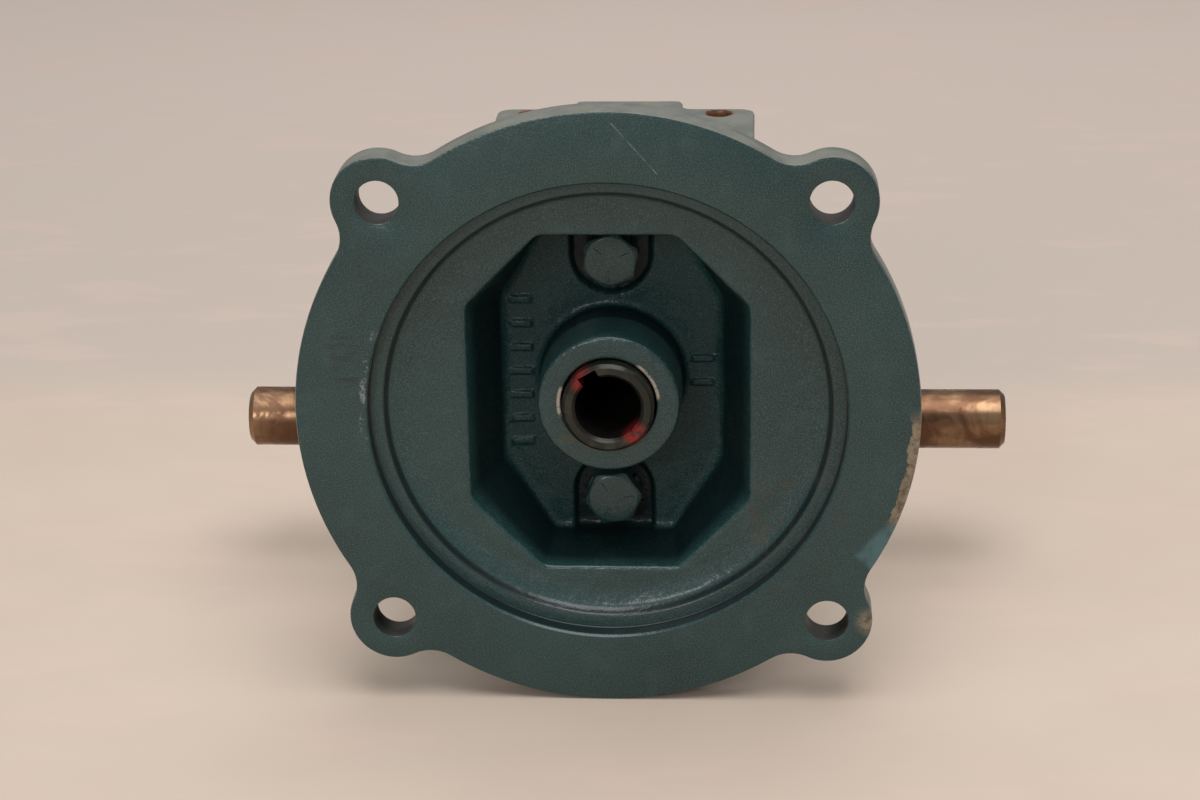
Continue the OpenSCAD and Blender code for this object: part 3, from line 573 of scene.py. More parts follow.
def oily_quill():
    """The keyed bore and end face of the quill: dark oily steel with red-brown residue, and painted
    shade inside the bore.
    """
    n = Nodes("quill_steel")
    patch = n.noise(300, 4, 0.7, 0.5)
    fine = n.noise(1100, 3, 0.6)
    away = radius_of(n)
    color = n.mix(n.span(patch, 0.4, 0.66), (0.020, 0.022, 0.017), (0.042, 0.042, 0.032))
    color = n.mix(times(n, n.span(fine, 0.5, 0.75), 0.4), color, (0.03, 0.025, 0.02))
    # Painted shade: the bore's wall darker than the end face
    inner = n.span(away, 0.0081, 0.0087, 1.0, 0.0)
    color = n.mix(times(n, inner, 0.8), color, (0.012, 0.010, 0.009))
    spot = n.math("MAXIMUM", near(n, -6.0, 7.2, 2.6, 1.6), near(n, 6.4, -6.4, 2.6, 1.4))
    red = times(n, spot, n.span(n.noise(420, 4, 0.7), 0.38, 0.5),
                n.span(n.axis("Y"), 0.009, 0.013, 1.0, 0.0))
    color = n.mix(times(n, red, 0.9), color, (0.26, 0.022, 0.020))
    normal = n.bump(fine, 0.3, 0.00008)
    return n.done(color, n.span(patch, 0.35, 0.7, 0.3, 0.5), normal, 0.5, coat=0.12,
                  coat_rough=0.12, level=0.3)


def machined(name, color, rough=0.3, metal=1.0, tarnish=(0.25, 0.22, 0.18), amount=0.35, grain=0.2):
    """Turned or ground metal with light tarnish."""
    n = Nodes(name)
    patch = n.noise(160, 5, 0.65, 0.3)
    fine = n.noise(1400, 2, 0.6)
    mixed = n.mix(n.math("MULTIPLY", n.span(patch, 0.45, 0.75), amount), color, tarnish)
    mixed = n.mix(n.math("MULTIPLY", n.span(fine, 0.5, 0.8), 0.15), mixed, tarnish)
    rough = n.span(patch, 0.3, 0.75, rough, rough + 0.2)
    return n.done(mixed, rough, n.bump(fine, grain, 0.00006), metal)


def matte(name, color, other, scale, rough=0.7, grain=0.3):
    """Rubber or gasket paper."""
    n = Nodes(name)
    patch = n.noise(scale, 5, 0.65)
    mixed = n.mix(n.span(patch, 0.35, 0.7), color, other)
    normal = n.bump(n.noise(scale * 7, 3, 0.6), grain, 0.0001)
    return n.done(mixed, n.span(patch, 0.3, 0.7, rough - 0.08, rough + 0.1), normal)


MATERIALS = {
    "flange": paint("flange_enamel", 0.7, flange=True),
    "pocket": paint("pocket_enamel", 1.8, pocket=True, dust=0.0, coat=0.18, level=0.1),
    "casting": paint("housing_enamel", 1.3),
    "bolt": paint("bolt_enamel", 0.5, dust=0.0),
    "cover": paint("cover_enamel", 0.9),
    "hole": machined("drilled_iron", (0.050, 0.050, 0.046), 0.45, 0.3, (0.018, 0.017, 0.015), 0.8),
    "shaft": filmed_steel("shaft_steel"),
    "quill": oily_quill(),
    "bearing": machined("bearing_steel", (0.72, 0.72, 0.73), 0.16, tarnish=(0.5, 0.47, 0.42)),
    "cage": machined("cage_brass", (0.68, 0.48, 0.20), 0.3),
    "bronze": machined("wheel_bronze", (0.62, 0.40, 0.17), 0.32, tarnish=(0.3, 0.18, 0.08)),
    "iron": machined("hub_iron", (0.22, 0.22, 0.23), 0.42, tarnish=(0.1, 0.09, 0.08)),
    "dark": machined("ring_steel", (0.16, 0.155, 0.15), 0.35, tarnish=(0.07, 0.06, 0.05)),
    "screw": machined("zinc_screws", (0.46, 0.44, 0.40), 0.38, tarnish=(0.2, 0.15, 0.1), amount=0.6),
    "wire": machined("spring_wire", (0.6, 0.6, 0.6), 0.25),
    "plate": machined("plate_aluminium", (0.62, 0.62, 0.60), 0.34, tarnish=(0.33, 0.31, 0.28)),
    "rubber": matte("seal_rubber", (0.014, 0.014, 0.014), (0.035, 0.033, 0.031), 220, 0.55),
    "paper": matte("gasket_paper", (0.13, 0.085, 0.05), (0.21, 0.14, 0.085), 300, 0.8),
}

NODE_MATERIAL = {
    "quill": ("worm_shaft",),
    "shaft": ("output_shaft", "wheel_key", "wheel_spacer"),
    "bronze": ("wheel_rim",),
    "iron": ("wheel_hub",),
    "dark": ("front_retaining_ring", "rear_retaining_ring", "bearing_shims"),
    "wire": ("input_seal_spring", "output_seal_springs"),
    "rubber": ("input_oil_seal", "left_oil_seal", "right_oil_seal"),
    "paper": ("flange_gasket", "end_cap_gasket", "left_cover_gasket", "right_cover_gasket"),
    "bolt": ("flange_lock_washers",),
    "bearing": tuple(f"{b}_bearing_{k}" for b in ("front", "rear", "left", "right")
                     for k in ("outer", "inner", "balls")),
    "cage": tuple(f"{b}_bearing_cage" for b in ("front", "rear", "left", "right")),
}


def dress_nodes():
    """Gives each CAD node that stays visible its material."""
    for key, names in NODE_MATERIAL.items():
        for name in names:
            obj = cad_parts[name]
            obj.data.materials.clear()
            obj.data.materials.append(MATERIALS[key])


# ---- Motor flange -----------------------------------------------------------------------------

def arc(centre, radius, start, end, steps):
    turn = np.linspace(start, end, steps + 1)
    return [(centre[0] + radius * math.cos(a), centre[1] + radius * math.sin(a)) for a in turn]


def flange_outline(inset=0.0):
    """The rim with its four ears and hollow blends, moved in by inset."""
    disc, ear, hollow = FLANGE_R - inset, EAR_R - inset, EAR_BLEND + inset
    a, b = FLANGE_R + EAR_BLEND, EAR_R + EAR_BLEND
    turn = math.acos((a * a + BOLT_REACH ** 2 - b * b) / (2 * a * BOLT_REACH))
    lean = math.acos((b * b + BOLT_REACH ** 2 - a * a) / (2 * b * BOLT_REACH))
    centre = (a * math.cos(turn), a * math.sin(turn))
    mirror = (centre[0], -centre[1])
    ear_part = (arc(mirror, hollow, math.pi - turn, lean, 10)[:-1]
                + arc((BOLT_REACH, 0), ear, lean - math.pi, math.pi - lean, 32)
                + arc(centre, hollow, -lean, turn - math.pi, 10)[1:])
    rim = arc((0, 0), disc, turn, math.pi / 2 - turn, 56)[1:-1]
    out = []
    for quarter in range(4):
        spin = math.pi / 4 + quarter * math.pi / 2
        cos, sin = math.cos(spin), math.sin(spin)
        out += [(x * cos - z * sin, x * sin + z * cos) for x, z in ear_part + rim]
    return np.array(out)


def octagon_radius(turn, corners, grow=0.0, sharp=90):
    """Distance from the axis to a round-cornered octagon, for an array of angles."""
    (ax, az), (bx, bz) = corners
    ax, az, bx, bz = ax + grow, az + grow, bx + grow, bz + grow
    cos, sin = np.abs(np.cos(turn)) + 1e-9, np.abs(np.sin(turn)) + 1e-9
    nx, nz = bz - az, ax - bx
    slant = (nx * ax + nz * az) / (nx * cos + nz * sin)
    return ((ax / cos) ** -sharp + (bz / sin) ** -sharp + slant ** -sharp) ** (-1 / sharp)


def graded(start, end, share):
    return tuple(tuple(p + (q - p) * share for p, q in zip(u, v)) for u, v in zip(start, end))


def relief_rings(count):
    """The turned and cast front of the flange inside its flat face, as rings (radius, y)."""
    turn = np.linspace(0, 2 * np.pi, count, endpoint=False)
    rim, floor = octagon_radius(turn, POCKET_RIM), octagon_radius(turn, POCKET_FLOOR)
    flat = np.ones(count)
    fillet_r = RING_INNER - 5.2
    # Corners as (radius, y, length cut off for rounding, points on the run that follows)
    corners = [
        (PILOT_R + 0.5, 0, 0, 1), (PILOT_R, 0.5, 0.15, 2), (PILOT_R, PILOT_DEPTH, 0.35, 2),
        (RING_INNER, PILOT_DEPTH, 0.5, 2), (RING_INNER - 1.3, PILOT_DEPTH + 2.2, 1.3, 1),
        (fillet_r, DISC_Y, 1.6, 12), (rim, DISC_Y, 1.3, 9), (floor, FLOOR_Y, 2.6, 24),
        (HUB_FOOT_R, FLOOR_Y, 2.2, 6), (HUB_R, HUB_FACE_Y, 1.5, 4),
        (HUB_BORE, HUB_FACE_Y, 0.5, 4), (HUB_BORE, 29.0, 0, 1),
    ]
    points = [np.stack([flat * r, flat * y], -1) for r, y, _, _ in corners]
    rings = []
    for k, (_, _, cut, runs) in enumerate(corners):
        here = points[k]
        starts = ends = here
        if cut and 0 < k < len(corners) - 1:
            back, ahead = points[k - 1] - here, points[k + 1] - here
            starts = here + back * np.minimum(0.45, cut / np.linalg.norm(back, axis=1))[:, None]
            ends = here + ahead * np.minimum(0.45, cut / np.linalg.norm(ahead, axis=1))[:, None]
            for s in np.linspace(0, 1, 6):
                rings.append((1 - s) ** 2 * starts + 2 * s * (1 - s) * here + s * s * ends)
        else:
            rings.append(here)
        if k + 1 < len(corners):
            nxt, ncut = points[k + 1], corners[k + 1][2]
            back = here - nxt
            share = np.minimum(0.45, ncut / np.linalg.norm(back, axis=1))[:, None]
            target = nxt + back * (share if ncut and k + 1 < len(corners) - 1 else 0)
            for s in np.linspace(0, 1, runs + 1)[1:-1]:
                rings.append(ends + (target - ends) * s)
    return turn, rings


def smooth_step(value, low, high):
    t = np.clip((value - low) / (high - low), 0, 1)
    return t * t * (3 - 2 * t)


def shape_pocket(x, y, z):
    """Adds the bolt seats and the blank raised bars to the depth."""
    deep = smooth_step(y, 24.0, FLOOR_Y)
    for side in (-1, 1):
        up = z * side
        away = np.where(up < BOLT_Z, np.hypot(x, up - BOLT_Z), np.abs(x)) - SEAT_R
        y = y + (SEAT_Y - FLOOR_Y) * deep * smooth_step(-away, -0.1, 1.3) * (up > 0)
    for column, middle, count in ((-22.6, 0.8, 7), (22.4, 1.1, 2)):
        for k in range(count):
            height = middle + (k - (count - 1) / 2) * 6.2
            away = np.maximum(np.abs(x - column) - 2.7, np.abs(z - height) - 0.8)
            y = y - 0.7 * deep * smooth_step(-away, -0.5, 0.35) * (y > FLOOR_Y - 1.5)
    return y


def uneven(points, amount, scale, seed):
    """A smooth random offset for each point."""
    shift = Vector((seed, seed * 1.7, -seed))
    return np.array([noise.noise(Vector(p) * scale + shift) for p in points]) * amount


def motor_flange():
    shape = Shape()
    turn, rings = relief_rings(720)
    cos, sin = np.cos(turn), np.sin(turn)
    out = []
    for ring in rings:
        r, y = ring[:, 0], ring[:, 1]
        x, z = r * cos, r * sin
        cast = (r < RING_INNER - 0.5) & (r > HUB_BORE + 0.6)
        if y.max() > DISC_Y - 2.5 and cast.any():
            y = np.where(cast, shape_pocket(x, y, z), y)
            spots = np.stack([x, y, z], -1)
            wave = uneven(spots, 0.16, 0.22, 3) + uneven(spots, 0.07, 0.75, 9)
            fade = smooth_step(RING_INNER - r, 1.0, 4.0) * smooth_step(r, HUB_BORE + 0.5, HUB_R)
            y = y + wave * fade
            side = smooth_step(y, DISC_Y + 2, DISC_Y + 5) * (r > HUB_FOOT_R + 2)
            bulge = uneven(spots, 0.22, 0.16, 17) * side
            x, z = x + cos * bulge, z + sin * bulge
        out.append(np.stack([x, y, z], -1))
    mouth = len(shape.verts)
    shape.rings([list(map(tuple, r)) for r in out], cap_first=False, cap_last=False)
    obj = finish_flange(shape, len(turn), len(out), mouth)
    return obj


def circle_points(centre, radius, count, y):
    turn = np.linspace(0, 2 * np.pi, count, endpoint=False)
    return [(centre[0] + radius * math.cos(a), y, centre[1] + radius * math.sin(a)) for a in turn]


def loop_edges(bm, points):
    verts = [bm.verts.new(Vector(p) * MM) for p in points]
    return verts, [bm.edges.new((verts[k], verts[(k + 1) % len(verts)])) for k in range(len(verts))]


def skin(bm, loops, slot=0):
    """Quads between consecutive loops of vertices."""
    for a, b in zip(loops, loops[1:]):
        for k in range(len(a)):
            face = bm.faces.new((a[k], a[(k + 1) % len(a)], b[(k + 1) % len(b)], b[k]))
            face.material_index = slot


def finish_flange(shape, count, rings, mouth):
    """Closes the flange: flat face, rim, bolt holes, and the back with its octagonal box."""
    bm = bmesh.new()
    verts = [bm.verts.new(Vector(p) * MM) for p in shape.verts]
    for face in shape.faces:
        bm.faces.new([verts[k] for k in face])
    front = len(bm.faces)

    def ring_of(verts_at):
        return [bm.edges.get((verts_at[k], verts_at[(k + 1) % len(verts_at)]))
                for k in range(len(verts_at))]

    front_inner = verts[mouth:mouth + count]
    bore_end = verts[mouth + (rings - 1) * count:mouth + rings * count]

    rim = []
    for inset, y in ((0.7, 0), (0.2, 0.16), (0, 0.7), (0, 3.5), (0, FLANGE_T - 0.8),
                     (0.25, FLANGE_T - 0.22), (0.8, FLANGE_T)):
        rim.append(loop_edges(bm, [(x, y, z) for x, z in flange_outline(inset)]))
    skin(bm, [v for v, _ in rim])
    front_edges, back_edges = list(rim[0][1]), list(rim[-1][1])

    for k in range(4):
        a = math.pi / 4 + k * math.pi / 2
        centre = (BOLT_REACH * math.cos(a), BOLT_REACH * math.sin(a))
        loops = [loop_edges(bm, circle_points(centre, BOLT_HOLE_R + grow, 64, y))
                 for grow, y in ((0.35, 0), (0.08, 0.12), (0, 0.4), (0, FLANGE_T - 0.4),
                                 (0.1, FLANGE_T - 0.1), (0.35, FLANGE_T))]
        skin(bm, [v for v, _ in loops[1:-1]], 1)
        skin(bm, [loops[0][0], loops[1][0]])
        skin(bm, [loops[-2][0], loops[-1][0]])
        front_edges += loops[0][1]
        back_edges += loops[-1][1]

    turn = np.linspace(0, 2 * np.pi, 240, endpoint=False)

    def back_ring(radius, y):
        r = radius if isinstance(radius, np.ndarray) else np.full(len(turn), radius)
        return loop_edges(bm, [(a * c, y, a * s) for a, c, s in zip(r, np.cos(turn), np.sin(turn))])

    def box_radius(y):
        share = (y - DISC_Y) / (FLOOR_Y - DISC_Y)
        return octagon_radius(turn, graded(POCKET_RIM, POCKET_FLOOR, share), POCKET_WALL, 45)

    base = box_radius(BACK_BOSS_Y)
    back = [back_ring(BACK_BOSS_R + 3.2, FLANGE_T), back_ring(BACK_BOSS_R + 1.1, FLANGE_T + 0.5),
            back_ring(BACK_BOSS_R + 0.2, FLANGE_T + 1.8), back_ring(BACK_BOSS_R, FLANGE_T + 3.4),
            back_ring(BACK_BOSS_R - 0.7, BACK_BOSS_Y - 0.7), back_ring(BACK_BOSS_R - 2.2, BACK_BOSS_Y),
            back_ring(base + 3.4, BACK_BOSS_Y + 0.05), back_ring(base + 1.2, BACK_BOSS_Y + 0.7),
            back_ring(base + 0.2, BACK_BOSS_Y + 2.4)]
    back += [back_ring(box_radius(y), y) for y in (19, 22, 25, 28, 31, 33.6)]
    end = box_radius(34.4)
    back += [back_ring(end - 0.8, 34.7), back_ring(np.minimum(end - 2.2, PLATE_R + 2.0), 35.1),
             back_ring(PLATE_R + 0.3, 35.3), back_ring(PLATE_R, 36.0), back_ring(PLATE_R, 36.8),
             back_ring(PLATE_R - 0.3, JOINT_Y)]
    back += [back_ring(23.48, JOINT_Y), back_ring(23.48, 40.2), back_ring(23.2, 40.4),
             back_ring(19.0, 40.4), back_ring(19.0, JOINT_Y - 0.3), back_ring(16.02, JOINT_Y - 0.3)]
    back += [back_ring(16.02, 29.5)]
    skin(bm, [v for v, _ in back])
    back_edges += back[0][1]
    bmesh.ops.triangle_fill(bm, use_beauty=True, edges=front_edges + ring_of(front_inner))
    bmesh.ops.triangle_fill(bm, use_beauty=True, edges=back_edges)
    bmesh.ops.triangle_fill(bm, use_beauty=True, edges=back[-1][1] + ring_of(bore_end))
    bmesh.ops.recalc_face_normals(bm, faces=bm.faces)
    for face in bm.faces:
        face.smooth = True
    for edge in bm.edges:
        edge.smooth = len(edge.link_faces) == 2 and edge.calc_face_angle(0.0) < math.radians(38)
    mesh = bpy.data.meshes.new("motor_flange_casting")
    bm.to_mesh(mesh)
    bm.free()
    obj = bpy.data.objects.new("motor_flange_casting", mesh)
    bpy.context.collection.objects.link(obj)
    mesh.materials.append(MATERIALS["flange"])
    mesh.materials.append(MATERIALS["hole"])
    mesh.materials.append(MATERIALS["pocket"])
    for face in mesh.polygons[:front]:
        x, y, z = face.center / MM
        if y > DISC_Y + 0.6 and HUB_R + 0.3 < math.hypot(x, z) < RING_INNER:
            face.material_index = 2
    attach(obj, "housing")
    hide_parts("motor_flange")
    return obj


# ---- Housing ----------------------------------------------------------------------------------

def housing_distance(p):
    axis_o = (0, OUT_Y, OUT_Z)
    worm = (0, 0, 0)
    d = d_cylinder(p, worm, 1, PLATE_R, HOUSING_Y - 3, HOUSING_Y + 9, 1.0)
    d = blend_union(d, d_box(p, (-28, 35, -37), (28, 60, 37), 3), 4)
    d = blend_union(d, d_box(p, (-34.5, 50, -45), (34.5, 115.5, TOP_Z + 6), 4), 5)
    d = blend_union(d, d_cylinder(p, worm, 1, 30, 60, REAR_Y + 6, 1), 6)
    d = blend_union(d, d_box(p, (-14, 100, 12), (15, 124, TOP_Z + 6), 2), 4)
    d = blend_union(d, d_cylinder(p, axis_o, 0, 39.5, -SIDE_X - 4, SIDE_X + 4, 1), 5)
    d = blend_union(d, d_box(p, (-34.5, OUT_Y - 37, BASE_Z - 8), (34.5, OUT_Y + 37, -62), 6), 5)
    d = blend_union(d, d_box(p, (-12, OUT_Y, -72), (12, 126, -48), 4), 4)
    x, y, z = p[..., 0], p[..., 1], p[..., 2]
    for plane in (np.abs(x) - SIDE_X, HOUSING_Y - y, y - REAR_Y, z - TOP_Z, BASE_Z - z):
        d = blend_cut(d, -plane, 0.6)
    d = blend_cut(d, d_cylinder(p, worm, 1, 23.6, 20, 52.5), 0.4)
    d = blend_cut(d, d_cylinder(p, worm, 1, 17, 40, 120), 0.4)
    d = blend_cut(d, d_cylinder(p, worm, 1, 20.1, 113.9, 150), 0.4)
    d = blend_cut(d, d_cylinder(p, axis_o, 0, 30.1, -60, 60), 0.4)
    d = blend_cut(d, d_cylinder(p, (0, OUT_Y, 0), 2, 4.85, 10, TOP_Z + 20), 0.5)
    d = blend_cut(d, d_cylinder(p, (0, 0, VENT_Z), 1, 4.85, RIB_Y - 9, RIB_Y + 20), 0.3)
    d = blend_cut(d, d_cylinder(p, (0, 0, DRAIN_Z), 1, 4.85, DRAIN_Y - 9, DRAIN_Y + 20), 0.3)
    d = blend_cut(d, d_cylinder(p, (0, LEVEL_Y, LEVEL_Z), 0, 4.85, -60, -SIDE_HALF + 9), 0.3)
    for sx in (-PAD_HOLE_X, PAD_HOLE_X):
        for sy in (-PAD_HOLE_Y, PAD_HOLE_Y):
            hole = (sx, OUT_Y + sy, 0)
            d = blend_cut(d, d_cylinder(p, hole, 2, 3.3, TOP_Z - 13, TOP_Z + 20), 0.8)
            d = blend_cut(d, d_cylinder(p, hole, 2, 3.3, BASE_Z - 20, BASE_Z + 13), 0.8)
    return d


def gear_housing():
    low, high = (-36.5, 37, -75), (36.5, REAR_Y + 0.5, 46)
    points, faces = surface_nets(housing_distance, low, high, 1.05)
    return piece("gear_housing_casting", points, faces, MATERIALS["casting"],
                 "housing", ["gear_housing"], smooth=35, tidy=False)


# ---- Covers, cap, screws and plugs ------------------------------------------------------------

def side_name(side):
    return "right" if side > 0 else "left"


def output_cover(side):
    """Turned from a casting: plate, nose with the seal's seat, and the spigot inside."""
    shape = Shape()
    face = SIDE_X + 0.4
    corners = [
        (29.95, 19.5, 0.5), (29.95, face, 0), (39.5, face, 0.3), (39.5, face + 5.6, 1.2),
        (21.5, face + 5.6, 2.6), (18.6, 45.8, 1.2), (14.35, 45.8, 0.3), (14.35, 39.4, 0),
        (8.95, 39.4, 0), (8.95, 36.0, 0), (15.0, 36.0, 0), (15.0, 32.0, 0), (20.0, 32.0, 0),
        (20.0, 19.5, 0.3), (29.95, 19.5, 0.5),
    ]
    turned(shape, corners, (0, OUT_Y, OUT_Z), "+X" if side > 0 else "-X", 128, closed=True)
    name = side_name(side)
    return piece(f"{name}_cover_casting", shape.verts, shape.faces, MATERIALS["cover"],
                 "housing", [f"{name}_cover"])


def end_cap():
    shape = Shape()
    corners = [
        (16.6, 126.5, 0.3), (19.97, 126.5, 0.3), (19.97, CAP_Y, 0), (30, CAP_Y, 0.3),
        (30, CAP_Y + 5, 1.4), (16, CAP_Y + 5, 1.5), (14.5, CAP_Y + 4.2, 1.0),
        (0.3, CAP_Y + 4.2, 0), (0.3, CAP_Y, 0), (16.6, CAP_Y, 0), (16.6, 126.5, 0.3),
    ]
    turned(shape, corners, (0, 0, 0), "+Y", 96, closed=True)
    return piece("end_cap_casting", shape.verts, shape.faces, MATERIALS["cover"],
                 "housing", ["end_cap"])


def washer_head_screw(shape, centre, axis, spin):
    """A small hex washer-head screw with its shank."""
    turned(shape, [(0.1, 0, 0), (4.9, 0, 0.2), (4.9, 0.6, 0.3), (0.1, 0.7, 0)], centre, axis, 40)
    base = place([(0, 0, 0.55)], centre, axis)[0]
    hex_head(shape, 7.9, 2.9, base, axis, 0.1, spin)
    turned(shape, [(0.1, -14, 0), (2.0, -14, 0.3), (2.38, -13, 0), (2.38, 0.05, 0), (0.1, 0.05, 0)],
           centre, axis, 24)


def screws(name, node, places, axis):
    shape = Shape()
    for k, (centre, way) in enumerate(places):
        washer_head_screw(shape, centre, way, 0.4 + 1.3 * k)
    return piece(name, shape.verts, shape.faces, MATERIALS["screw"], "housing",
                 [node], smooth=30)


def all_screws():
    places = []
    for side in (-1, 1):
        for k in range(4):
            a = math.pi / 4 + k * math.pi / 2
            centre = (side * 42.0, OUT_Y + 34.8 * math.cos(a), OUT_Z + 34.8 * math.sin(a))
            places.append((centre, "+X" if side > 0 else "-X"))
    screws("cover_hex_screws", "cover_screws", places, None)
    places = []
    for k in range(4):
        a = math.pi / 4 + k * math.pi / 2
        places.append(((24.8 * math.cos(a), CAP_Y + 5, 24.8 * math.sin(a)), "+Y"))
    screws("end_cap_hex_screws", "end_cap_screws", places, None)


def joint_bolts():
    """The two painted hex bolts in the pocket, with three plain grade marks on each head."""
    shape = Shape()
    for z, spin in ((BOLT_Z, 0.15), (-BOLT_Z, 0.42)):
        centre = (0, 29.5, z)
        turned(shape, [(0.1, 0, 0), (6.0, 0, 0.2), (6.0, 0.5, 0.2), (0.1, 0.6, 0)],
               centre, "-Y", 48)
        hex_head(shape, 12.7, 5.2, (0, 29.2, z), "-Y", 0.12, spin)
        turned(shape, [(0.1, -19, 0), (3.4, -19, 0.5), (3.94, -17.5, 0), (3.94, 0.1, 0),
                       (0.1, 0.1, 0)], centre, "-Y", 32)
        for k in range(3):
            a = spin + 0.5 + k * 2 * math.pi / 3
            ticks = []
            for r, half, t in ((2.4, 0.05, 5.28), (2.6, 0.34, 5.28), (5.0, 0.34, 5.24),
                               (5.2, 0.05, 5.2)):
                ring = []
                for u, lift in ((-half, -0.2), (-half * 0.6, 0.28), (half * 0.6, 0.28), (half, -0.2)):
                    ring.append((r * math.cos(a) - u * math.sin(a),
                                 r * math.sin(a) + u * math.cos(a), t + lift))
                ticks.append(place(ring, (0, 29.2, z), "-Y"))
            shape.rings(ticks)
    return piece("joint_hex_bolts", shape.verts, shape.faces, MATERIALS["bolt"],
                 "housing", ["flange_bolts"], smooth=30)


def plugs():
    """Three hex-headed pipe plugs, one of them the vent, and a flush socket plug on top."""
    shank = [(0.1, -8, 0), (4.2, -8, 0.4), (4.75, -7, 0), (4.75, 0.1, 0), (0.1, 0.1, 0)]
    for name, centre, axis in (("level_plug", (-SIDE_HALF, LEVEL_Y, LEVEL_Z), "-X"),
                               ("drain_plug", (0, DRAIN_Y, DRAIN_Z), "+Y"),
                               ("vent_plug", (0, RIB_Y, VENT_Z), "+Y")):
        shape = Shape()
        hex_head(shape, 11.1, 4.8, centre, axis, 0.0, 0.3)
        turned(shape, shank, centre, axis, 32)
        if name == "vent_plug":
            top = place([(0, 0, 4.7)], centre, axis)[0]
            turned(shape, [(0.1, 0, 0), (2.6, 0, 0), (2.6, 0.5, 0.3), (1.1, 0.5, 0.1),
                           (1.0, -0.2, 0), (0.1, -0.2, 0)], top, axis, 32)
        piece(f"{name}_hex", shape.verts, shape.faces, MATERIALS["screw"],
              "housing", [name], smooth=30)
    shape = Shape()
    socket = [(u, v) for u, v in hexagon(4.76, 8, 60)]
    top = TOP_Z - 0.6

    def disc(radius, z):
        out = []
        for u, v in socket:
            k = radius / math.hypot(u, v)
            out.append((u * k, OUT_Y + v * k, z))
        return out

    def well(scale, z):
        return [(u * scale, OUT_Y + v * scale, z) for u, v in socket]

    shape.rings([disc(0.1, top - 8), disc(4.3, top - 8), disc(4.76, top - 7.4), disc(4.76, top - 0.4),
                 disc(4.4, top), disc(3.4, top), well(1.1, top), well(1.0, top - 0.3),
                 well(1.0, top - 4), well(0.1, top - 4.4)])
    piece("fill_plug_socket", shape.verts, shape.faces, MATERIALS["screw"],
          "housing", ["fill_plug"], smooth=30)


def nameplate():
    """A blank aluminium plate with soft corners, held by two drive pins."""
    low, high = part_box("nameplate")
    y0, y1, z0, z1 = low[1] / MM, high[1] / MM, low[2] / MM, high[2] / MM
    back, front, round_r = high[0] / MM, low[0] / MM, 2.0
    outline = []
    for cy, cz, start in ((y1 - round_r, z1 - round_r, 0), (y0 + round_r, z1 - round_r, 90),
                          (y0 + round_r, z0 + round_r, 180), (y1 - round_r, z0 + round_r, 270)):
        outline += arc((cy, cz), round_r, math.radians(start), math.radians(start + 90), 6)
    mid = ((y0 + y1) / 2, (z0 + z1) / 2)

    def ring(x, inset):
        return [(x, y + (mid[0] - y) * inset / abs(mid[0] - y0) * 0.5,
                 z + (mid[1] - z) * inset / abs(mid[1] - z0) * 0.5) for y, z in outline]

    shape = Shape()
    shape.rings([ring(back, 0), ring(front + 0.15, 0), ring(front, 0.3), ring(front, 1.6),
                 ring(front + 0.12, 2.0)])
    piece("blank_nameplate", shape.verts, shape.faces, MATERIALS["plate"],
          "housing", ["nameplate"])
    pins = Shape()
    for share in (0.06, 0.94):
        centre = (back, y0 + (y1 - y0) * share, mid[1])
        turned(pins, [(0.1, -5, 0), (1.15, -5, 0.2), (1.15, 0.6, 0), (2.0, 0.6, 0.1),
                      (1.8, 1.2, 0.4), (0.1, 1.45, 0)], centre, "-X", 28)
    piece("nameplate_drive_pins", pins.verts, pins.faces, MATERIALS["plate"],
          "housing", ["nameplate_pins"])


# ---- Stage, light and camera ------------------------------------------------------------------

def stage():
    """A wide pale floor. Far behind the object it turns to the paler tone of a wall."""
    floor = BASE_Z * MM
    bm = bmesh.new()
    corners = [bm.verts.new((x, y, floor)) for x, y in ((-6, -6), (6, -6), (6, 6), (-6, 6))]
    bm.faces.new(corners)
    mesh = bpy.data.meshes.new("floor")
    bm.to_mesh(mesh)
    bm.free()
    obj = bpy.data.objects.new("floor", mesh)
    bpy.context.collection.objects.link(obj)
    n = Nodes("floor_paper")
    cloud = n.span(n.noise(9, 4, 0.6), 0.3, 0.7)
    color = n.mix(cloud, (0.575, 0.465, 0.385), (0.61, 0.505, 0.415))
    wall = n.mix(n.span(n.axis("Y"), 0.25, 0.8), (0.530, 0.450, 0.395), (0.62, 0.525, 0.465))
    color = n.mix(n.span(n.axis("Y"), 0.19, 0.25), color, wall)
    tint = n.span(n.noise(16, 3, 0.6, 0.0, n.stretched((1.0, 2.6, 1.0))), 0.52, 0.66)
    color = n.mix(times(n, tint, 0.3), color, (0.66, 0.50, 0.43))
    mesh.materials.append(n.done(color, 0.75, n.bump(n.noise(700, 3), 0.08, 0.0002)))


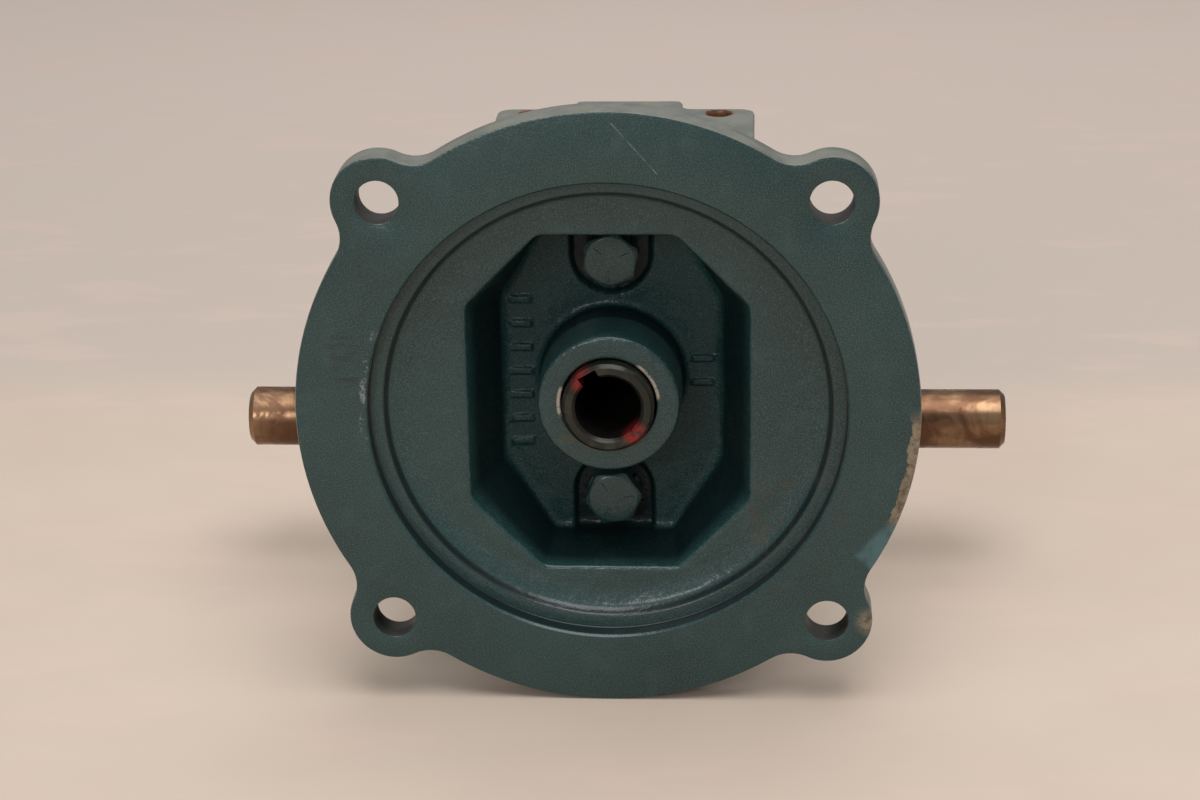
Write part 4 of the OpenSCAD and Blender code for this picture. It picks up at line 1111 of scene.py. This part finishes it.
def area_light(name, where, target, size, power, color=(1, 1, 1)):
    data = bpy.data.lights.new(name, "AREA")
    data.shape, data.size, data.energy, data.color = "DISK", size, power, color
    obj = bpy.data.objects.new(name, data)
    bpy.context.collection.objects.link(obj)
    obj.location = where
    way = Vector(target) - Vector(where)
    obj.rotation_euler = way.to_track_quat("-Z", "Y").to_euler()


def lights():
    world = bpy.data.worlds.new("studio")
    bpy.context.scene.world = world
    world.use_nodes = True
    background = world.node_tree.nodes["Background"]
    background.inputs["Color"].default_value = (1.0, 0.98, 0.95, 1)
    background.inputs["Strength"].default_value = 0.38
    area_light("key", (0.12, -0.38, 1.25), (0, 0.03, 0), 1.0, 10.5)
    area_light("fill", (-0.35, -1.25, 0.55), (0, 0, 0), 0.5, 4.5)
    area_light("top", (0.1, 0.35, 1.2), (0, 0.12, 0), 1.2, 6)


def color_management():
    """Plain display colours, so that the dark enamel stays dark beside the pale floor."""
    view = bpy.context.scene.view_settings
    view.view_transform, view.look = "Standard", "None"
    view.exposure, view.gamma = 0.0, 1.0


def camera():
    """Stands where the reference view was taken: 683 mm away, 20 degrees above the worm."""
    data = bpy.data.cameras.new("camera")
    data.lens, data.sensor_width = 86.3, 36.0
    data.clip_start, data.clip_end = 0.01, 20
    obj = bpy.data.objects.new("camera", data)
    bpy.context.collection.objects.link(obj)
    yaw, pitch, roll = math.radians(-3.451), math.radians(20.351), math.radians(-0.966)
    ahead = Vector((math.sin(yaw) * math.cos(pitch), math.cos(yaw) * math.cos(pitch),
                    -math.sin(pitch)))
    level = Vector((math.cos(yaw), -math.sin(yaw), 0))
    up = level.cross(ahead)
    right = level * math.cos(roll) + up * math.sin(roll)
    up = up * math.cos(roll) - level * math.sin(roll)
    turn = Matrix((right, up, -ahead)).transposed().to_4x4()
    obj.matrix_world = Matrix.Translation((0.03696, -0.63768, 0.24113)) @ turn
    bpy.context.scene.camera = obj


camera()
color_management()
lights()
stage()
dress_nodes()
motor_flange()
gear_housing()
for hand in (-1, 1):
    output_cover(hand)
end_cap()
all_screws()
joint_bolts()
plugs()
nameplate()
